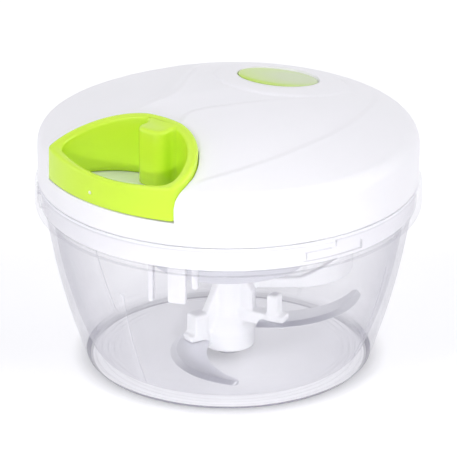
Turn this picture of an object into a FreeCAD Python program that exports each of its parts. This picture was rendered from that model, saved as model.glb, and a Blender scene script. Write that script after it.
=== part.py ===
import FreeCAD, Part
import math
import os

from FreeCAD import Vector

# Pull-string food chopper, in millimetres. +Z is up and the pull handle faces -Y.
# The origin is the centre of the bowl's foot, on the surface that it stands on.

# Bowl
foot_r = 48.0
foot_ring_w = 2.8
foot_recess = 0.8
bowl_belly_r = 54.6
bowl_belly_z = 21.5
bowl_wall = 2.2
floor_t = 1.8
floor_flat_r = 40.0
floor_corner = 3.8
inner_foot_inset = 1.9
inner_foot_z = 6.2
rim_z = 63.2
collar_proud = 1.2
collar_h = 9.2
collar_step = 3.5
collar_wall = 2.0
collar_round = 2.4
ledge_drop = 7.3
rib_angles_deg = (-87.0, 18.5, 98.0, 191.0)
rib_w = 1.6
rib_depth = 1.2
rib_low_z = 6.6
rib_top_z = 40.5

# Pivot pin in the bowl floor
pin_r = 2.0
pin_top_z = 18.0
pin_head_r = 4.2
pin_boss_r = 4.4
pin_boss_top_z = 4.8

# Bayonet between the lid and the collar
lug_count = 3
lug_deg = 8.5
slot_play_deg = 1.2
lock_turn_deg = 9.5
first_lug_deg = -21.3
lug_h = 2.4
lug_drop = 2.6
track_depth = 1.2

# Lid shell
lid_r = 63.6
lid_wall = 2.2
crown_r = 183.0
lid_h = 28.2
edge_round = 6.0
platform_x = -3.2
platform_y = 30.5
platform_r = 23.0
platform_rise = 0.6
disc_x = -3.2
disc_y = 29.2
disc_r = 13.5
disc_t = 1.6
disc_proud = -0.1
disc_lean_deg = 2.5

# Seal between the bowl's rim and the lid
seal_t = 0.9
seal_w = 1.0

# Lid base
skirt_w = 2.0
skirt_gap = 0.4
base_plate_drop = 5.7
base_plate_t = 2.0
spigot_h = 4.0
housing_r = 27.5
housing_wall = 2.0
housing_depth = 21.0
screw_inset = 11.4
screw_angles_deg = (35.0, 145.0, 205.0, 335.0)
screw_r = 1.5
screw_head_r = 2.9
screw_head_t = 1.8
screw_length = 11.0
post_r = 3.6
tab_groups = 3
tab_gap = 2.9
tab_t = 1.6
tab_round = 0.7

# Each locating tab under the base plate: direction, width and how far it hangs below the plate
locating_tabs = ((-75.8, 1.6, 17.2), (-66.4, 6.0, 16.5), (-60.2, 2.0, 10.9))

# Handle and its recess in the lid
handle_x = -0.8
handle_back_y = -29.4
handle_half_w = 28.2
handle_half_l = 24.8
handle_depth = 19.9
handle_front_drop = 10.0
handle_mid_y = -48.0
handle_mid_drop = 5.9
handle_back_rise = 0.5
handle_corner_round = 1.6
handle_wall = 3.4
handle_front_wall = 3.0
finger_round = 6.0
handle_gap = 0.5
pocket_wall = 2.0
block_w = 10.6
block_depth = 11.0
block_top_drop = 0.9
block_round = 2.6

# Cord
cord_d = 1.8
cord_drop = 14.5
cord_bend_gap = 2.9
knot_r = 2.7
eyelet_r = 2.6
eyelet_flange_r = 3.9
eyelet_flange_t = 0.8

# Spool
axle_r = 2.0
axle_tail = 8.0
axle_cover = 1.2
drum_r = 11.0
wound_r = 15.6
flange_r = 21.0
flange_t = 1.4
channel_h = 5.8
ratchet_teeth = 12
ratchet_outer_r = 20.0
ratchet_root_r = 17.6
ratchet_tip_r = 15.9
ratchet_face_deg = 56.0
ratchet_h = 4.0
ratchet_roof_t = 1.8
arbor_r = 4.6
spool_hub_r = 8.0

# Recoil spring and its case
spring_t = 0.5
spring_h = 3.4
spring_turns = 6
case_r = 19.6
case_wall = 1.2
case_floor_t = 0.8
ring_rib_wall = 1.6

# Output shaft
shaft_r = 4.0
shoulder_r = 7.0
bush_wall = 2.0
bush_boss_wall = 2.2
bush_h = 7.5
washer_t = 0.8
pawl_plate_lift = 3.5
pawl_plate_t = 2.4
pawl_plate_r = 14.6
drive_hub_r = 5.6
dog_count = 3
dog_core_r = 2.6
dog_r = 3.9
dog_deg = 34.0
dog_h = 9.0
dog_start_deg = 12.0
dog_push_gap_deg = 2.5
dog_free_gap_deg = 13.5

# Pawls
pawl_count = 2
pawl_pivot_r = 11.4
pawl_pin_r = 1.1
pawl_h = 2.8
pawl_boss_r = 2.4
pawl_nose_r = 17.2
pawl_nose_w = 2.6

# Blade unit
hub_low_z = 3.2
hub_foot_r = 8.8
hub_foot_h = 6.0
hub_cone_h = 5.6
hub_r = 5.3
hub_top_gap = 2.5
socket_depth = 10.5
hub_bush_wall = 0.9
hub_bush_h = 7.9
blade_t = 1.2
blade_lift = 0.9
arm_w = 5.2
arm_h = 4.4
peg_h = 11.4
foot_w = 6.0
foot_reach = 4.4
web_t = 3.4
web_reach = 9.6

# Each arm has its direction, reach, thickness and width of its peg, height of its underside and how far
# its web stays below the hub's top. Its blade's outline is in the arm's own frame, with x along the arm:
# start, belly and tip of the outer edge, then middle and end of the inner edge.
low_arm = (254.8, 12.5, 5.2, 6.0, 5.6, 7.0)
low_outer = ((13.6, -8.0), (28.9, 12.6), (23.1, 35.2))
low_inner = ((19.8, 19.3), (10.5, 4.5))
middle_arm = (14.8, 17.2, 4.0, 4.4, 13.0, 3.0)
middle_outer = ((13.4, -6.8), (33.5, 12.6), (33.9, 33.3))
middle_inner = ((26.8, 17.6), (12.5, 5.0))
top_arm = (134.8, 17.2, 4.0, 4.4, 20.4, 1.0)
top_outer = ((13.4, -6.8), (34.4, 13.4), (35.0, 34.2))
top_inner = ((27.4, 18.2), (12.5, 5.0))
blade_tip_w = 3.4

# Mixing wing near the hub's top, in its own frame with x along its root
wing_deg = 41.0
wing_drop = 10.5
wing_t = 2.2
wing_root_h = 3.8
wing_tip_h = 9.0
wing_bend_x = 24.0
wing_tip_x = 41.0
wing_tip_y = 24.0

# Clearances
shaft_clear = 0.06
seat_clear = 0.02
moving_gap = 0.3
nose_gap = 0.15
dog_clear = 0.12

up = Vector(0, 0, 1)


def disc(radius, low, high, x=0.0, y=0.0):
    """Upright cylinder between two heights."""
    return Part.makeCylinder(radius, high - low, Vector(x, y, low), up)


def tube(outer, inner, low, high, x=0.0, y=0.0):
    """Upright tube between two heights."""
    return disc(outer, low, high, x, y).cut(disc(inner, low - 1.0, high + 1.0, x, y))


def box(x0, x1, y0, y1, z0, z1):
    """Box between two corners."""
    return Part.makeBox(x1 - x0, y1 - y0, z1 - z0, Vector(x0, y0, z0))


def turned(shape, degrees):
    """Copy of a shape, turned about the object's axis."""
    copy = shape.copy()
    copy.rotate(Vector(0, 0, 0), up, degrees)
    return copy


def line(a, b):
    return Part.makeLine(a, b)


def arc(a, middle, b):
    return Part.Arc(a, middle, b).toShape()


def prism(edges, height):
    """Solid from a closed loop of edges in one plane, raised along Z."""
    face = Part.Face(Part.Wire(edges))
    return face.extrude(Vector(0, 0, height))


def polygon_prism(points, low, high):
    """Upright prism over a closed outline of straight sides."""
    corners = [Vector(x, y, low) for x, y in points]
    corners.append(corners[0])
    face = Part.Face(Part.makePolygon(corners))
    return face.extrude(Vector(0, 0, high - low))


def wedge(radius, start_deg, end_deg, low, high):
    """Slice of a disc between two directions that are less than a half turn apart."""
    middle = math.radians((start_deg + end_deg) / 2.0)
    reach = radius / math.cos(math.radians(end_deg - start_deg) / 2.0)
    start = math.radians(start_deg)
    end = math.radians(end_deg)
    points = [
        (0.0, 0.0),
        (reach * math.cos(start), reach * math.sin(start)),
        (reach * math.cos(middle), reach * math.sin(middle)),
        (reach * math.cos(end), reach * math.sin(end)),
    ]
    return polygon_prism(points, low, high).common(disc(radius, low, high))


def ring_slice(outer, inner, start_deg, end_deg, low, high):
    """Part of a ring between two directions."""
    return wedge(outer, start_deg, end_deg, low, high).cut(disc(inner, low - 1.0, high + 1.0))


def revolve(edges):
    """Solid of revolution about Z from a closed loop in the XZ plane."""
    face = Part.Face(Part.Wire(edges))
    return face.revolve(Vector(0, 0, 0), up, 360)


def at(radius, height):
    """Point of a profile in the XZ plane."""
    return Vector(radius, 0, height)


# Derived heights of the stack from the rim upwards
seal_low_z = rim_z + 0.1
seal_high_z = seal_low_z + seal_t
lid_edge_z = seal_high_z + 0.1
lid_top_z = lid_edge_z + lid_h
crown_centre_z = lid_top_z - crown_r
collar_r = lid_r + collar_proud
collar_in_r = collar_r - collar_wall
skirt_r = collar_in_r - skirt_gap
bowl_neck_r = collar_r - collar_step
bowl_neck_z = rim_z - collar_h
ledge_z = rim_z - ledge_drop
lug_high_z = rim_z - lug_drop
lug_low_z = lug_high_z - lug_h
track_high_z = lug_high_z + moving_gap
track_low_z = lug_low_z - moving_gap

# Derived places of the lid base and of the hub under it
base_plate_z = rim_z - base_plate_drop
housing_low_z = base_plate_z - housing_depth
bush_top_z = housing_low_z + bush_h
tab_r = bowl_neck_r - bowl_wall - tab_gap
screw_pcr = lid_r - lid_wall - screw_inset
hub_top_z = housing_low_z - hub_top_gap
dog_low_z = hub_top_z - dog_h
wing_low_z = hub_top_z - wing_drop

# Derived places of the handle and the cord
handle_low_z = lid_top_z - handle_depth
block_top_z = lid_top_z - block_top_drop
cord_z = lid_top_z - cord_drop
cord_bend_y = -(wound_r + cord_bend_gap)
handle_centre_y = handle_back_y - handle_half_l
knot_y = handle_back_y - block_depth / 2.0
knot_flat_y = knot_y + knot_r * 0.8

# Derived heights of the spool stack, counted from the pawl plate upwards
pawl_plate_z = base_plate_z + pawl_plate_lift
plate_top_z = pawl_plate_z + pawl_plate_t
ratchet_low_z = plate_top_z + moving_gap
roof_low_z = ratchet_low_z + ratchet_h
roof_high_z = roof_low_z + ratchet_roof_t
channel_low_z = cord_z - channel_h / 2.0
channel_high_z = cord_z + channel_h / 2.0
spool_top_z = channel_high_z + flange_t
case_low_z = spool_top_z + moving_gap
spring_low_z = case_low_z + case_floor_t + moving_gap
spring_high_z = spring_low_z + spring_h
arbor_top_z = spring_high_z + moving_gap


def crown_height(radius, offset=0.0):
    """Height of the lid's crown at a distance from the axis."""
    return crown_centre_z + math.sqrt((crown_r + offset) ** 2 - radius ** 2)


def lid_profile(side_r, top_offset, round_r, low_z):
    """Edges of the domed lid outline: wall, rounded edge and crown, closed along the axis."""
    sphere_r = crown_r + top_offset
    ring_r = side_r - round_r
    ring_z = crown_centre_z + math.sqrt((sphere_r - round_r) ** 2 - ring_r ** 2)
    lean = math.asin(ring_r / (sphere_r - round_r))
    join_r = sphere_r * math.sin(lean)
    join_z = crown_centre_z + sphere_r * math.cos(lean)
    half = (math.pi / 2.0 - lean) / 2.0
    round_mid = at(ring_r + round_r * math.cos(half), ring_z + round_r * math.sin(half))
    crown_mid = at(sphere_r * math.sin(lean / 2.0), crown_centre_z + sphere_r * math.cos(lean / 2.0))
    top = at(0.0, crown_centre_z + sphere_r)
    return [
        line(at(0.0, low_z), at(side_r, low_z)),
        line(at(side_r, low_z), at(side_r, ring_z)),
        arc(at(side_r, ring_z), round_mid, at(join_r, join_z)),
        arc(at(join_r, join_z), crown_mid, top),
        line(top, at(0.0, low_z)),
    ]


def lid_solid(inset, low_z):
    """Solid dome that lies inside the lid's outer surface by the inset."""
    round_r = max(edge_round - inset, 1.0)
    return revolve(lid_profile(lid_r - inset, -inset, round_r, low_z))


def handle_outline(gap, low, high):
    """Oval upright solid that the handle and its recess are cut from."""
    centre = Vector(handle_x, handle_centre_y, low)
    major = centre + Vector(handle_half_w + gap, 0, 0)
    minor = centre + Vector(0, handle_half_l + gap, 0)
    if handle_half_w < handle_half_l:
        major, minor = minor, major
    oval = Part.Ellipse(major, minor, centre)
    return Part.Face(Part.Wire(oval.toShape())).extrude(Vector(0, 0, high - low))


def make_bowl():
    foot_in_r = foot_r - foot_ring_w
    floor_top = foot_recess + floor_t
    neck_in = bowl_neck_r - bowl_wall
    outer_foot = at(foot_r, 0.8)
    round_mid = at(collar_r - collar_round * 0.293, bowl_neck_z + collar_round * 0.293)
    edges = [
        line(at(0.0, foot_recess), at(foot_in_r, foot_recess)),
        line(at(foot_in_r, foot_recess), at(foot_in_r, 0.0)),
        line(at(foot_in_r, 0.0), at(foot_r - 0.5, 0.0)),
        line(at(foot_r - 0.5, 0.0), outer_foot),
        arc(outer_foot, at(bowl_belly_r, bowl_belly_z), at(bowl_neck_r, bowl_neck_z)),
        line(at(bowl_neck_r, bowl_neck_z), at(collar_r - collar_round, bowl_neck_z)),
        arc(at(collar_r - collar_round, bowl_neck_z), round_mid, at(collar_r, bowl_neck_z + collar_round)),
        line(at(collar_r, bowl_neck_z + collar_round), at(collar_r, rim_z - 0.3)),
        line(at(collar_r, rim_z - 0.3), at(collar_r - 0.3, rim_z)),
        line(at(collar_r - 0.3, rim_z), at(collar_in_r, rim_z)),
        line(at(collar_in_r, rim_z), at(collar_in_r, ledge_z)),
        line(at(collar_in_r, ledge_z), at(neck_in, ledge_z)),
        inner_wall_arc(0.0),
        arc(inner_foot(0.0), at(foot_r - floor_corner, floor_corner), at(floor_flat_r, floor_top)),
        line(at(floor_flat_r, floor_top), at(0.0, floor_top)),
        line(at(0.0, floor_top), at(0.0, foot_recess)),
    ]
    bowl = revolve(edges)
    for degrees in rib_angles_deg:
        bowl = bowl.fuse(turned(bowl_rib(), degrees))
    bowl = bowl.fuse(disc(pin_boss_r, foot_recess, pin_boss_top_z))
    bowl = bowl.cut(disc(pin_r + seat_clear, foot_recess - 1.0, pin_boss_top_z + 1.0))
    bowl = bowl.cut(disc(pin_head_r + seat_clear, foot_recess - 1.0, foot_recess + 0.8))
    for i in range(lug_count):
        bowl = bowl.cut(turned(bayonet_track(), first_lug_deg + i * 360.0 / lug_count))
    return bowl


def inner_foot(shift):
    """Lower end of the inner wall's arc, moved outwards by the shift."""
    return at(foot_r - inner_foot_inset + shift, inner_foot_z)


def inner_wall_arc(shift):
    """Arc of the bowl's inner wall in profile, moved outwards by the shift."""
    neck = at(bowl_neck_r - bowl_wall + shift, ledge_z)
    belly = at(bowl_belly_r - bowl_wall + shift, bowl_belly_z + 0.8)
    return arc(neck, belly, inner_foot(shift))


def bowl_rib():
    """Low upright rib on the inside of the wall, drawn at angle zero."""
    inner = inner_wall_arc(-rib_depth)
    outer = inner_wall_arc(bowl_wall / 2.0)
    neck_in = bowl_neck_r - bowl_wall
    ends = [
        line(at(neck_in - rib_depth, ledge_z), at(neck_in + bowl_wall / 2.0, ledge_z)),
        line(inner_foot(-rib_depth), inner_foot(bowl_wall / 2.0)),
    ]
    wire = Part.Wire(Part.__sortEdges__([inner, outer] + ends))
    rib = Part.Face(wire).extrude(Vector(0, rib_w, 0))
    rib.translate(Vector(0, -rib_w / 2.0, 0))
    return rib.common(box(0.0, collar_r, -rib_w, rib_w, rib_low_z, rib_top_z))


def bayonet_track():
    """Entry slot and turning track of one lug, drawn with the resting lug at angle zero."""
    half = lug_deg / 2.0 + slot_play_deg
    entry = ring_slice(collar_in_r + track_depth, collar_in_r - 1.0, -half, half, track_low_z, rim_z + 1.0)
    track = ring_slice(
        collar_in_r + track_depth, collar_in_r - 1.0, -half, half + lock_turn_deg, track_low_z, track_high_z
    )
    return entry.fuse(track)


def make_pivot_pin():
    pin = disc(pin_r, foot_recess, pin_top_z - 1.2)
    pin = pin.fuse(Part.makeCone(pin_r, pin_r - 0.8, 1.2, Vector(0, 0, pin_top_z - 1.2), up))
    return pin.fuse(disc(pin_head_r, foot_recess, foot_recess + 0.8))


def make_lid_seal():
    return tube(skirt_r + 0.1 + seal_w, skirt_r + 0.1, seal_low_z, seal_high_z)


def disc_normal():
    """Place of the green disc on the crown, and the direction that it faces."""
    centre = Vector(disc_x, disc_y, crown_height(math.hypot(disc_x, disc_y)))
    normal = centre - Vector(0, 0, crown_centre_z)
    normal.normalize()
    outward = Vector(disc_x, disc_y, 0)
    outward.normalize()
    normal = normal + outward * math.tan(math.radians(disc_lean_deg))
    normal.normalize()
    return centre, normal


def make_lid_shell():
    shell = lid_solid(0.0, lid_edge_z).cut(lid_solid(lid_wall, lid_edge_z - 1.0))
    inside = lid_solid(lid_wall / 2.0, lid_edge_z)
    recess = handle_outline(handle_gap, handle_low_z - handle_gap, lid_top_z + 5.0)
    recess_low_z = handle_low_z - handle_gap - pocket_wall
    recess_wall = handle_outline(handle_gap + pocket_wall, recess_low_z, lid_top_z)
    shell = shell.fuse(recess_wall.common(inside))
    platform = Part.makeSphere(crown_r + platform_rise, Vector(0, 0, crown_centre_z), up, 0, 90, 360)
    platform = platform.common(disc(platform_r, lid_top_z - 14.0, lid_top_z + 2.0, platform_x, platform_y))
    shell = shell.fuse(platform.cut(lid_solid(lid_wall / 2.0, lid_edge_z)))
    shell = shell.cut(recess)
    centre, normal = disc_normal()
    seat = centre + normal * (platform_rise + disc_proud - disc_t)
    shell = shell.cut(Part.makeCylinder(disc_r + 0.1, 6.0, seat, normal))
    for degrees in screw_angles_deg:
        shell = shell.fuse(screw_post(degrees))
    ring_low = spring_high_z - 0.6
    ring = tube(case_r + case_wall + ring_rib_wall, case_r + case_wall + seat_clear, ring_low, lid_top_z)
    boss = disc(axle_r + 3.0, arbor_top_z + moving_gap, lid_top_z)
    shell = shell.fuse(ring.common(inside))
    shell = shell.fuse(boss.common(inside))
    shell = shell.cut(disc(axle_r + seat_clear, lid_edge_z, lid_top_z - axle_cover))
    hole = Part.makeCylinder(eyelet_r, 12.0, Vector(0, handle_back_y - 4.0, cord_z), Vector(0, 1, 0))
    return shell.cut(hole)


def screw_place(degrees):
    angle = math.radians(degrees)
    return screw_pcr * math.cos(angle), screw_pcr * math.sin(angle)


def screw_post(degrees):
    """Hollow post under the crown that one base screw bites into."""
    x, y = screw_place(degrees)
    low = base_plate_z + base_plate_t
    post = disc(post_r, low, lid_top_z, x, y).common(lid_solid(lid_wall / 2.0, lid_edge_z - 20.0))
    return post.cut(disc(screw_r + seat_clear, low - 1.0, base_plate_z + screw_length + 1.0, x, y))


def make_lid_base():
    plate_top = base_plate_z + base_plate_t
    skirt_low = ledge_z + moving_gap
    spigot_r = lid_r - lid_wall - 0.2
    base = disc(skirt_r, base_plate_z, plate_top)
    base = base.fuse(tube(skirt_r, skirt_r - skirt_w, skirt_low, seal_high_z))
    base = base.fuse(tube(spigot_r, spigot_r - skirt_w, plate_top - 0.5, seal_high_z + spigot_h))
    base = base.cut(disc(housing_r + seat_clear, base_plate_z - 1.0, plate_top + 1.0))
    for i in range(lug_count):
        base = base.fuse(turned(bayonet_lug(), first_lug_deg + i * 360.0 / lug_count))
    for i in range(tab_groups):
        for degrees, width, drop in locating_tabs:
            base = base.fuse(turned(locating_tab(width, drop), degrees + i * 360.0 / tab_groups))
    for degrees in screw_angles_deg:
        x, y = screw_place(degrees)
        base = base.cut(disc(screw_r + 0.1, base_plate_z - 1.0, plate_top + 1.0, x, y))
        base = base.cut(disc(screw_head_r + 0.1, base_plate_z - 1.0, base_plate_z + 0.6, x, y))
    return base


def make_drive_housing():
    """Cup set in the base plate, with the bored boss that holds the shaft's bush."""
    cup = disc(housing_r, housing_low_z, base_plate_z + base_plate_t)
    cup = cup.cut(disc(housing_r - housing_wall, housing_low_z + housing_wall, rim_z))
    boss_r = shaft_r + bush_wall + bush_boss_wall
    cup = cup.fuse(disc(boss_r, housing_low_z, bush_top_z - 1.0))
    return cup.cut(disc(shaft_r + bush_wall + seat_clear, housing_low_z - 1.0, bush_top_z + 1.0))


def bayonet_lug():
    half = lug_deg / 2.0
    reach = collar_in_r + track_depth - moving_gap
    return ring_slice(reach, skirt_r - 0.5, -half, half, lug_low_z, lug_high_z)


def locating_tab(width, drop):
    """Flat tab with a rounded lower end under the base plate, drawn at angle zero."""
    low = base_plate_z - drop
    high = base_plate_z + base_plate_t / 2.0
    tab = box(tab_r - tab_t, tab_r, -width / 2.0, width / 2.0, low, high)
    corners = []
    for edge in tab.Edges:
        bound = edge.BoundBox
        if bound.XLength > tab_t / 2.0 and bound.ZMax < low + 0.1:
            corners.append(edge)
    return tab.makeFillet(tab_round, corners)


def make_base_screws():
    screws = []
    for degrees in screw_angles_deg:
        x, y = screw_place(degrees)
        head_top = base_plate_z + 0.6
        screw = disc(screw_head_r, head_top - screw_head_t, head_top, x, y)
        screws.append(screw.fuse(disc(screw_r, head_top, base_plate_z + screw_length, x, y)))
    return Part.makeCompound(screws)


def make_top_disc():
    centre, normal = disc_normal()
    seat = centre + normal * (platform_rise + disc_proud - disc_t)
    return Part.makeCylinder(disc_r, disc_t, seat, normal)


def make_cord_eyelet():
    wall_front = handle_back_y + handle_gap
    wall_back = wall_front + pocket_wall
    y_axis = Vector(0, 1, 0)
    start = Vector(0, wall_front + 0.2, cord_z)
    bush = Part.makeCylinder(eyelet_r - seat_clear, pocket_wall + 0.2, start, y_axis)
    flange = Part.makeCylinder(eyelet_flange_r, eyelet_flange_t, Vector(0, wall_back + 0.6, cord_z), y_axis)
    neck = Part.makeCylinder(eyelet_r - seat_clear, 1.0, Vector(0, wall_back, cord_z), y_axis)
    bore = Part.makeCylinder(cord_d / 2.0 + 0.4, 12.0, Vector(0, wall_front - 2.0, cord_z), y_axis)
    return bush.fuse(neck).fuse(flange).cut(bore)


def make_spring_case():
    high = spring_high_z + 1.0
    case = disc(case_r + case_wall, case_low_z, high)
    case = case.cut(disc(case_r, case_low_z + case_floor_t, high + 1.0))
    return case.cut(disc(arbor_r + moving_gap, case_low_z - 1.0, high + 1.0))


def spiral_edges(inner_r, outer_r, turns):
    """Half-circle arcs of a flat spiral, each centred a little beside the axis."""
    steps = int(round(turns * 2))
    growth = (outer_r - inner_r) / steps
    edges = []
    for i in range(steps):
        side = 1.0 if i % 2 == 0 else -1.0
        near = inner_r + growth * i
        far = near + growth
        start = Vector(side * near, 0, spring_low_z)
        end = Vector(-side * far, 0, spring_low_z)
        bow = Vector((start.x + end.x) / 2.0, side * (near + far) / 2.0, spring_low_z)
        edges.append(arc(start, bow, end))
    return edges


def make_recoil_spring():
    inner_r = arbor_r + 0.2
    outer_r = case_r - spring_t - 0.2
    inside = spiral_edges(inner_r, outer_r, spring_turns)
    outside = spiral_edges(inner_r + spring_t, outer_r + spring_t, spring_turns)
    first = line(inside[0].firstVertex().Point, outside[0].firstVertex().Point)
    last = line(inside[-1].lastVertex().Point, outside[-1].lastVertex().Point)
    wire = Part.Wire(Part.__sortEdges__(inside + outside + [first, last]))
    return Part.Face(wire).extrude(Vector(0, 0, spring_h))


def make_axle_pin():
    return disc(axle_r, pawl_plate_z - axle_tail, lid_top_z - axle_cover - 0.2)


def make_shaft_bush():
    return tube(shaft_r + bush_wall, shaft_r + shaft_clear, housing_low_z + 0.2, bush_top_z)


def make_thrust_washer():
    return tube(shoulder_r + 0.6, shaft_r + shaft_clear, bush_top_z + 0.05, bush_top_z + 0.05 + washer_t)


def nose_direction(radius):
    """Direction in which the nose of the first pawl lies when its swing has brought it to a radius."""
    end = math.radians(ratchet_face_deg) - moving_gap / pawl_nose_r
    reach = pawl_pivot_r ** 2 + pawl_nose_r ** 2 - 2.0 * pawl_pivot_r * pawl_nose_r * math.cos(end)
    return math.acos((pawl_pivot_r ** 2 + radius ** 2 - reach) / (2.0 * pawl_pivot_r * radius))


def ratchet_ring():
    """Ring of saw teeth that point inwards, whose faces push the pawls clockwise and let them swing in."""
    points = []
    lean = nose_direction(ratchet_tip_r) - nose_direction(pawl_nose_r) + nose_gap / ratchet_tip_r
    step = 2.0 * math.pi / ratchet_teeth
    face = math.radians(ratchet_face_deg)
    for i in range(ratchet_teeth):
        root = face + i * step
        tip = root + lean
        points.append((ratchet_root_r * math.cos(root), ratchet_root_r * math.sin(root)))
        points.append((ratchet_tip_r * math.cos(tip), ratchet_tip_r * math.sin(tip)))
    hole = polygon_prism(points, ratchet_low_z - 1.0, roof_low_z)
    return disc(ratchet_outer_r, ratchet_low_z, roof_low_z).cut(hole)


def make_cord_spool():
    spool = ratchet_ring()
    spool = spool.fuse(disc(ratchet_outer_r, roof_low_z, roof_high_z))
    spool = spool.fuse(disc(spool_hub_r, roof_high_z, channel_low_z))
    spool = spool.fuse(disc(flange_r, channel_low_z - flange_t, channel_low_z))
    spool = spool.fuse(disc(drum_r, channel_low_z, channel_high_z))
    spool = spool.fuse(disc(flange_r, channel_high_z, spool_top_z))
    spool = spool.fuse(disc(arbor_r, spool_top_z, arbor_top_z))
    return spool.cut(disc(axle_r + shaft_clear, ratchet_low_z - 1.0, arbor_top_z + 1.0))


def make_cord_winding():
    side_gap = 0.2
    return tube(wound_r, drum_r + seat_clear, channel_low_z + side_gap, channel_high_z - side_gap)


def make_spool_washer():
    return tube(drive_hub_r, axle_r + shaft_clear, roof_low_z - 0.8, roof_low_z - 0.05)


def dogs(radius, core_r, start_deg, end_deg, low, high):
    """Core with equal lobes round it, each between two directions from the first lobe's start."""
    shape = disc(core_r, low, high)
    for i in range(dog_count):
        turn = i * 360.0 / dog_count
        shape = shape.fuse(wedge(radius, start_deg + turn, end_deg + turn, low, high))
    return shape


def drive_dogs(low, high):
    """Driving end of the output shaft."""
    return dogs(dog_r, dog_core_r, dog_start_deg, dog_start_deg + dog_deg, low, high)


def dog_socket(low, high):
    """Socket in the blade hub, wider on the side that the lid turns towards."""
    start = dog_start_deg - dog_push_gap_deg
    end = dog_start_deg + dog_deg + dog_free_gap_deg
    return dogs(dog_r + dog_clear, dog_core_r + dog_clear, start, end, low, high)


def make_drive_shaft():
    shoulder_z = bush_top_z + washer_t + 0.1
    shaft = disc(shaft_r, hub_top_z + 1.5, shoulder_z)
    shaft = shaft.fuse(drive_dogs(dog_low_z, hub_top_z + 1.5))
    shaft = shaft.fuse(disc(shoulder_r, shoulder_z, pawl_plate_z))
    shaft = shaft.fuse(disc(pawl_plate_r, pawl_plate_z, plate_top_z))
    shaft = shaft.fuse(disc(drive_hub_r, plate_top_z, roof_low_z - 0.85))
    shaft = shaft.cut(disc(axle_r + shaft_clear, pawl_plate_z - axle_tail - 1.0, roof_low_z))
    for i in range(pawl_count):
        x, y = pawl_pivot(i)
        shaft = shaft.cut(disc(pawl_pin_r + seat_clear, pawl_plate_z - 1.0, plate_top_z + 1.0, x, y))
    return shaft


def pawl_pivot(index):
    angle = 2.0 * math.pi * index / pawl_count
    return pawl_pivot_r * math.cos(angle), pawl_pivot_r * math.sin(angle)


def make_pawl_pins():
    pins = []
    for i in range(pawl_count):
        x, y = pawl_pivot(i)
        pins.append(disc(pawl_pin_r, pawl_plate_z + 0.2, plate_top_z + 0.1 + pawl_h, x, y))
    return Part.makeCompound(pins)


def polar(radius, angle, z):
    return Vector(radius * math.cos(angle), radius * math.sin(angle), z)


def make_pawl(index):
    """Pawl whose nose rests just before the face of a tooth, drawn for the first pivot and turned."""
    low = plate_top_z + 0.15
    high = low + pawl_h
    end = nose_direction(pawl_nose_r)
    pivot = Vector(pawl_pivot_r, 0, low)
    corners = [
        pivot + Vector(-pawl_boss_r * 0.7, 0, 0),
        pivot + Vector(pawl_boss_r * 0.8, 0, 0),
        polar(pawl_nose_r, end, low),
        polar(pawl_nose_r - pawl_nose_w, end, low),
    ]
    corners.append(corners[0])
    body = Part.Face(Part.makePolygon(corners)).extrude(Vector(0, 0, pawl_h))
    pawl = body.fuse(disc(pawl_boss_r, low, high, pawl_pivot_r, 0.0))
    pawl = pawl.cut(disc(pawl_pin_r + shaft_clear, low - 1.0, high + 1.0, pawl_pivot_r, 0.0))
    return turned(pawl, 360.0 * index / pawl_count)


def make_left_pawl():
    return make_pawl(0)


def make_right_pawl():
    return make_pawl(1)


def upright_edges(shape, least_r):
    """Straight vertical edges that stand further than a distance from the axis."""
    found = []
    for edge in shape.Edges:
        a = edge.Vertexes[0].Point
        b = edge.Vertexes[-1].Point
        if abs(a.x - b.x) < 1e-6 and abs(a.y - b.y) < 1e-6 and math.hypot(a.x, a.y) > least_r:
            found.append(edge)
    return found


def handle_top():
    """Solid below the curved surface that the handle's rim lies on."""
    front = Vector(-lid_r, -lid_r, lid_top_z - handle_front_drop)
    middle = Vector(-lid_r, handle_mid_y, lid_top_z - handle_mid_drop)
    back = Vector(-lid_r, handle_back_y + 0.5, lid_top_z + handle_back_rise)
    low_front = Vector(-lid_r, front.y, handle_low_z)
    low_back = Vector(-lid_r, back.y, handle_low_z)
    edges = [
        arc(front, middle, back),
        line(back, low_back),
        line(low_back, low_front),
        line(low_front, front),
    ]
    return Part.Face(Part.Wire(edges)).extrude(Vector(2.0 * lid_r, 0, 0))


def make_pull_handle():
    high = lid_top_z + 10.0
    edge = disc(lid_r, handle_low_z - 1.0, high + 1.0)
    outer = handle_outline(0.0, handle_low_z, high).common(edge)
    outer = outer.makeFillet(handle_corner_round, upright_edges(outer, lid_r - 1.0))
    finger = handle_outline(-handle_wall, handle_low_z - 1.0, high + 1.0)
    finger = finger.common(disc(lid_r - handle_front_wall, handle_low_z - 2.0, high + 2.0))
    finger = finger.makeFillet(finger_round, upright_edges(finger, lid_r / 2.0))
    ring = outer.cut(finger).common(handle_top())
    block_front = handle_back_y - block_depth
    block_back = handle_back_y - handle_wall / 2.0
    block = box(-block_w / 2.0, block_w / 2.0, block_front, block_back, handle_low_z, block_top_z)
    block = block.makeFillet(block_round, upright_edges(block, -block_front - 1.0))
    handle = ring.fuse(block)
    y_axis = Vector(0, 1, 0)
    bore = Part.makeCylinder(cord_d / 2.0 + 0.2, block_depth, Vector(0, knot_y, cord_z), y_axis)
    pocket = disc(knot_r + 0.3, handle_low_z - 1.0, cord_z + knot_r + 0.3, 0.0, knot_y)
    return handle.cut(bore).cut(pocket)


def make_cord_knot():
    knot = Part.makeSphere(knot_r, Vector(0, knot_y, cord_z))
    low = cord_z - knot_r
    high = cord_z + knot_r
    return knot.cut(box(-knot_r, knot_r, knot_flat_y, knot_y + knot_r, low, high))


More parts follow.
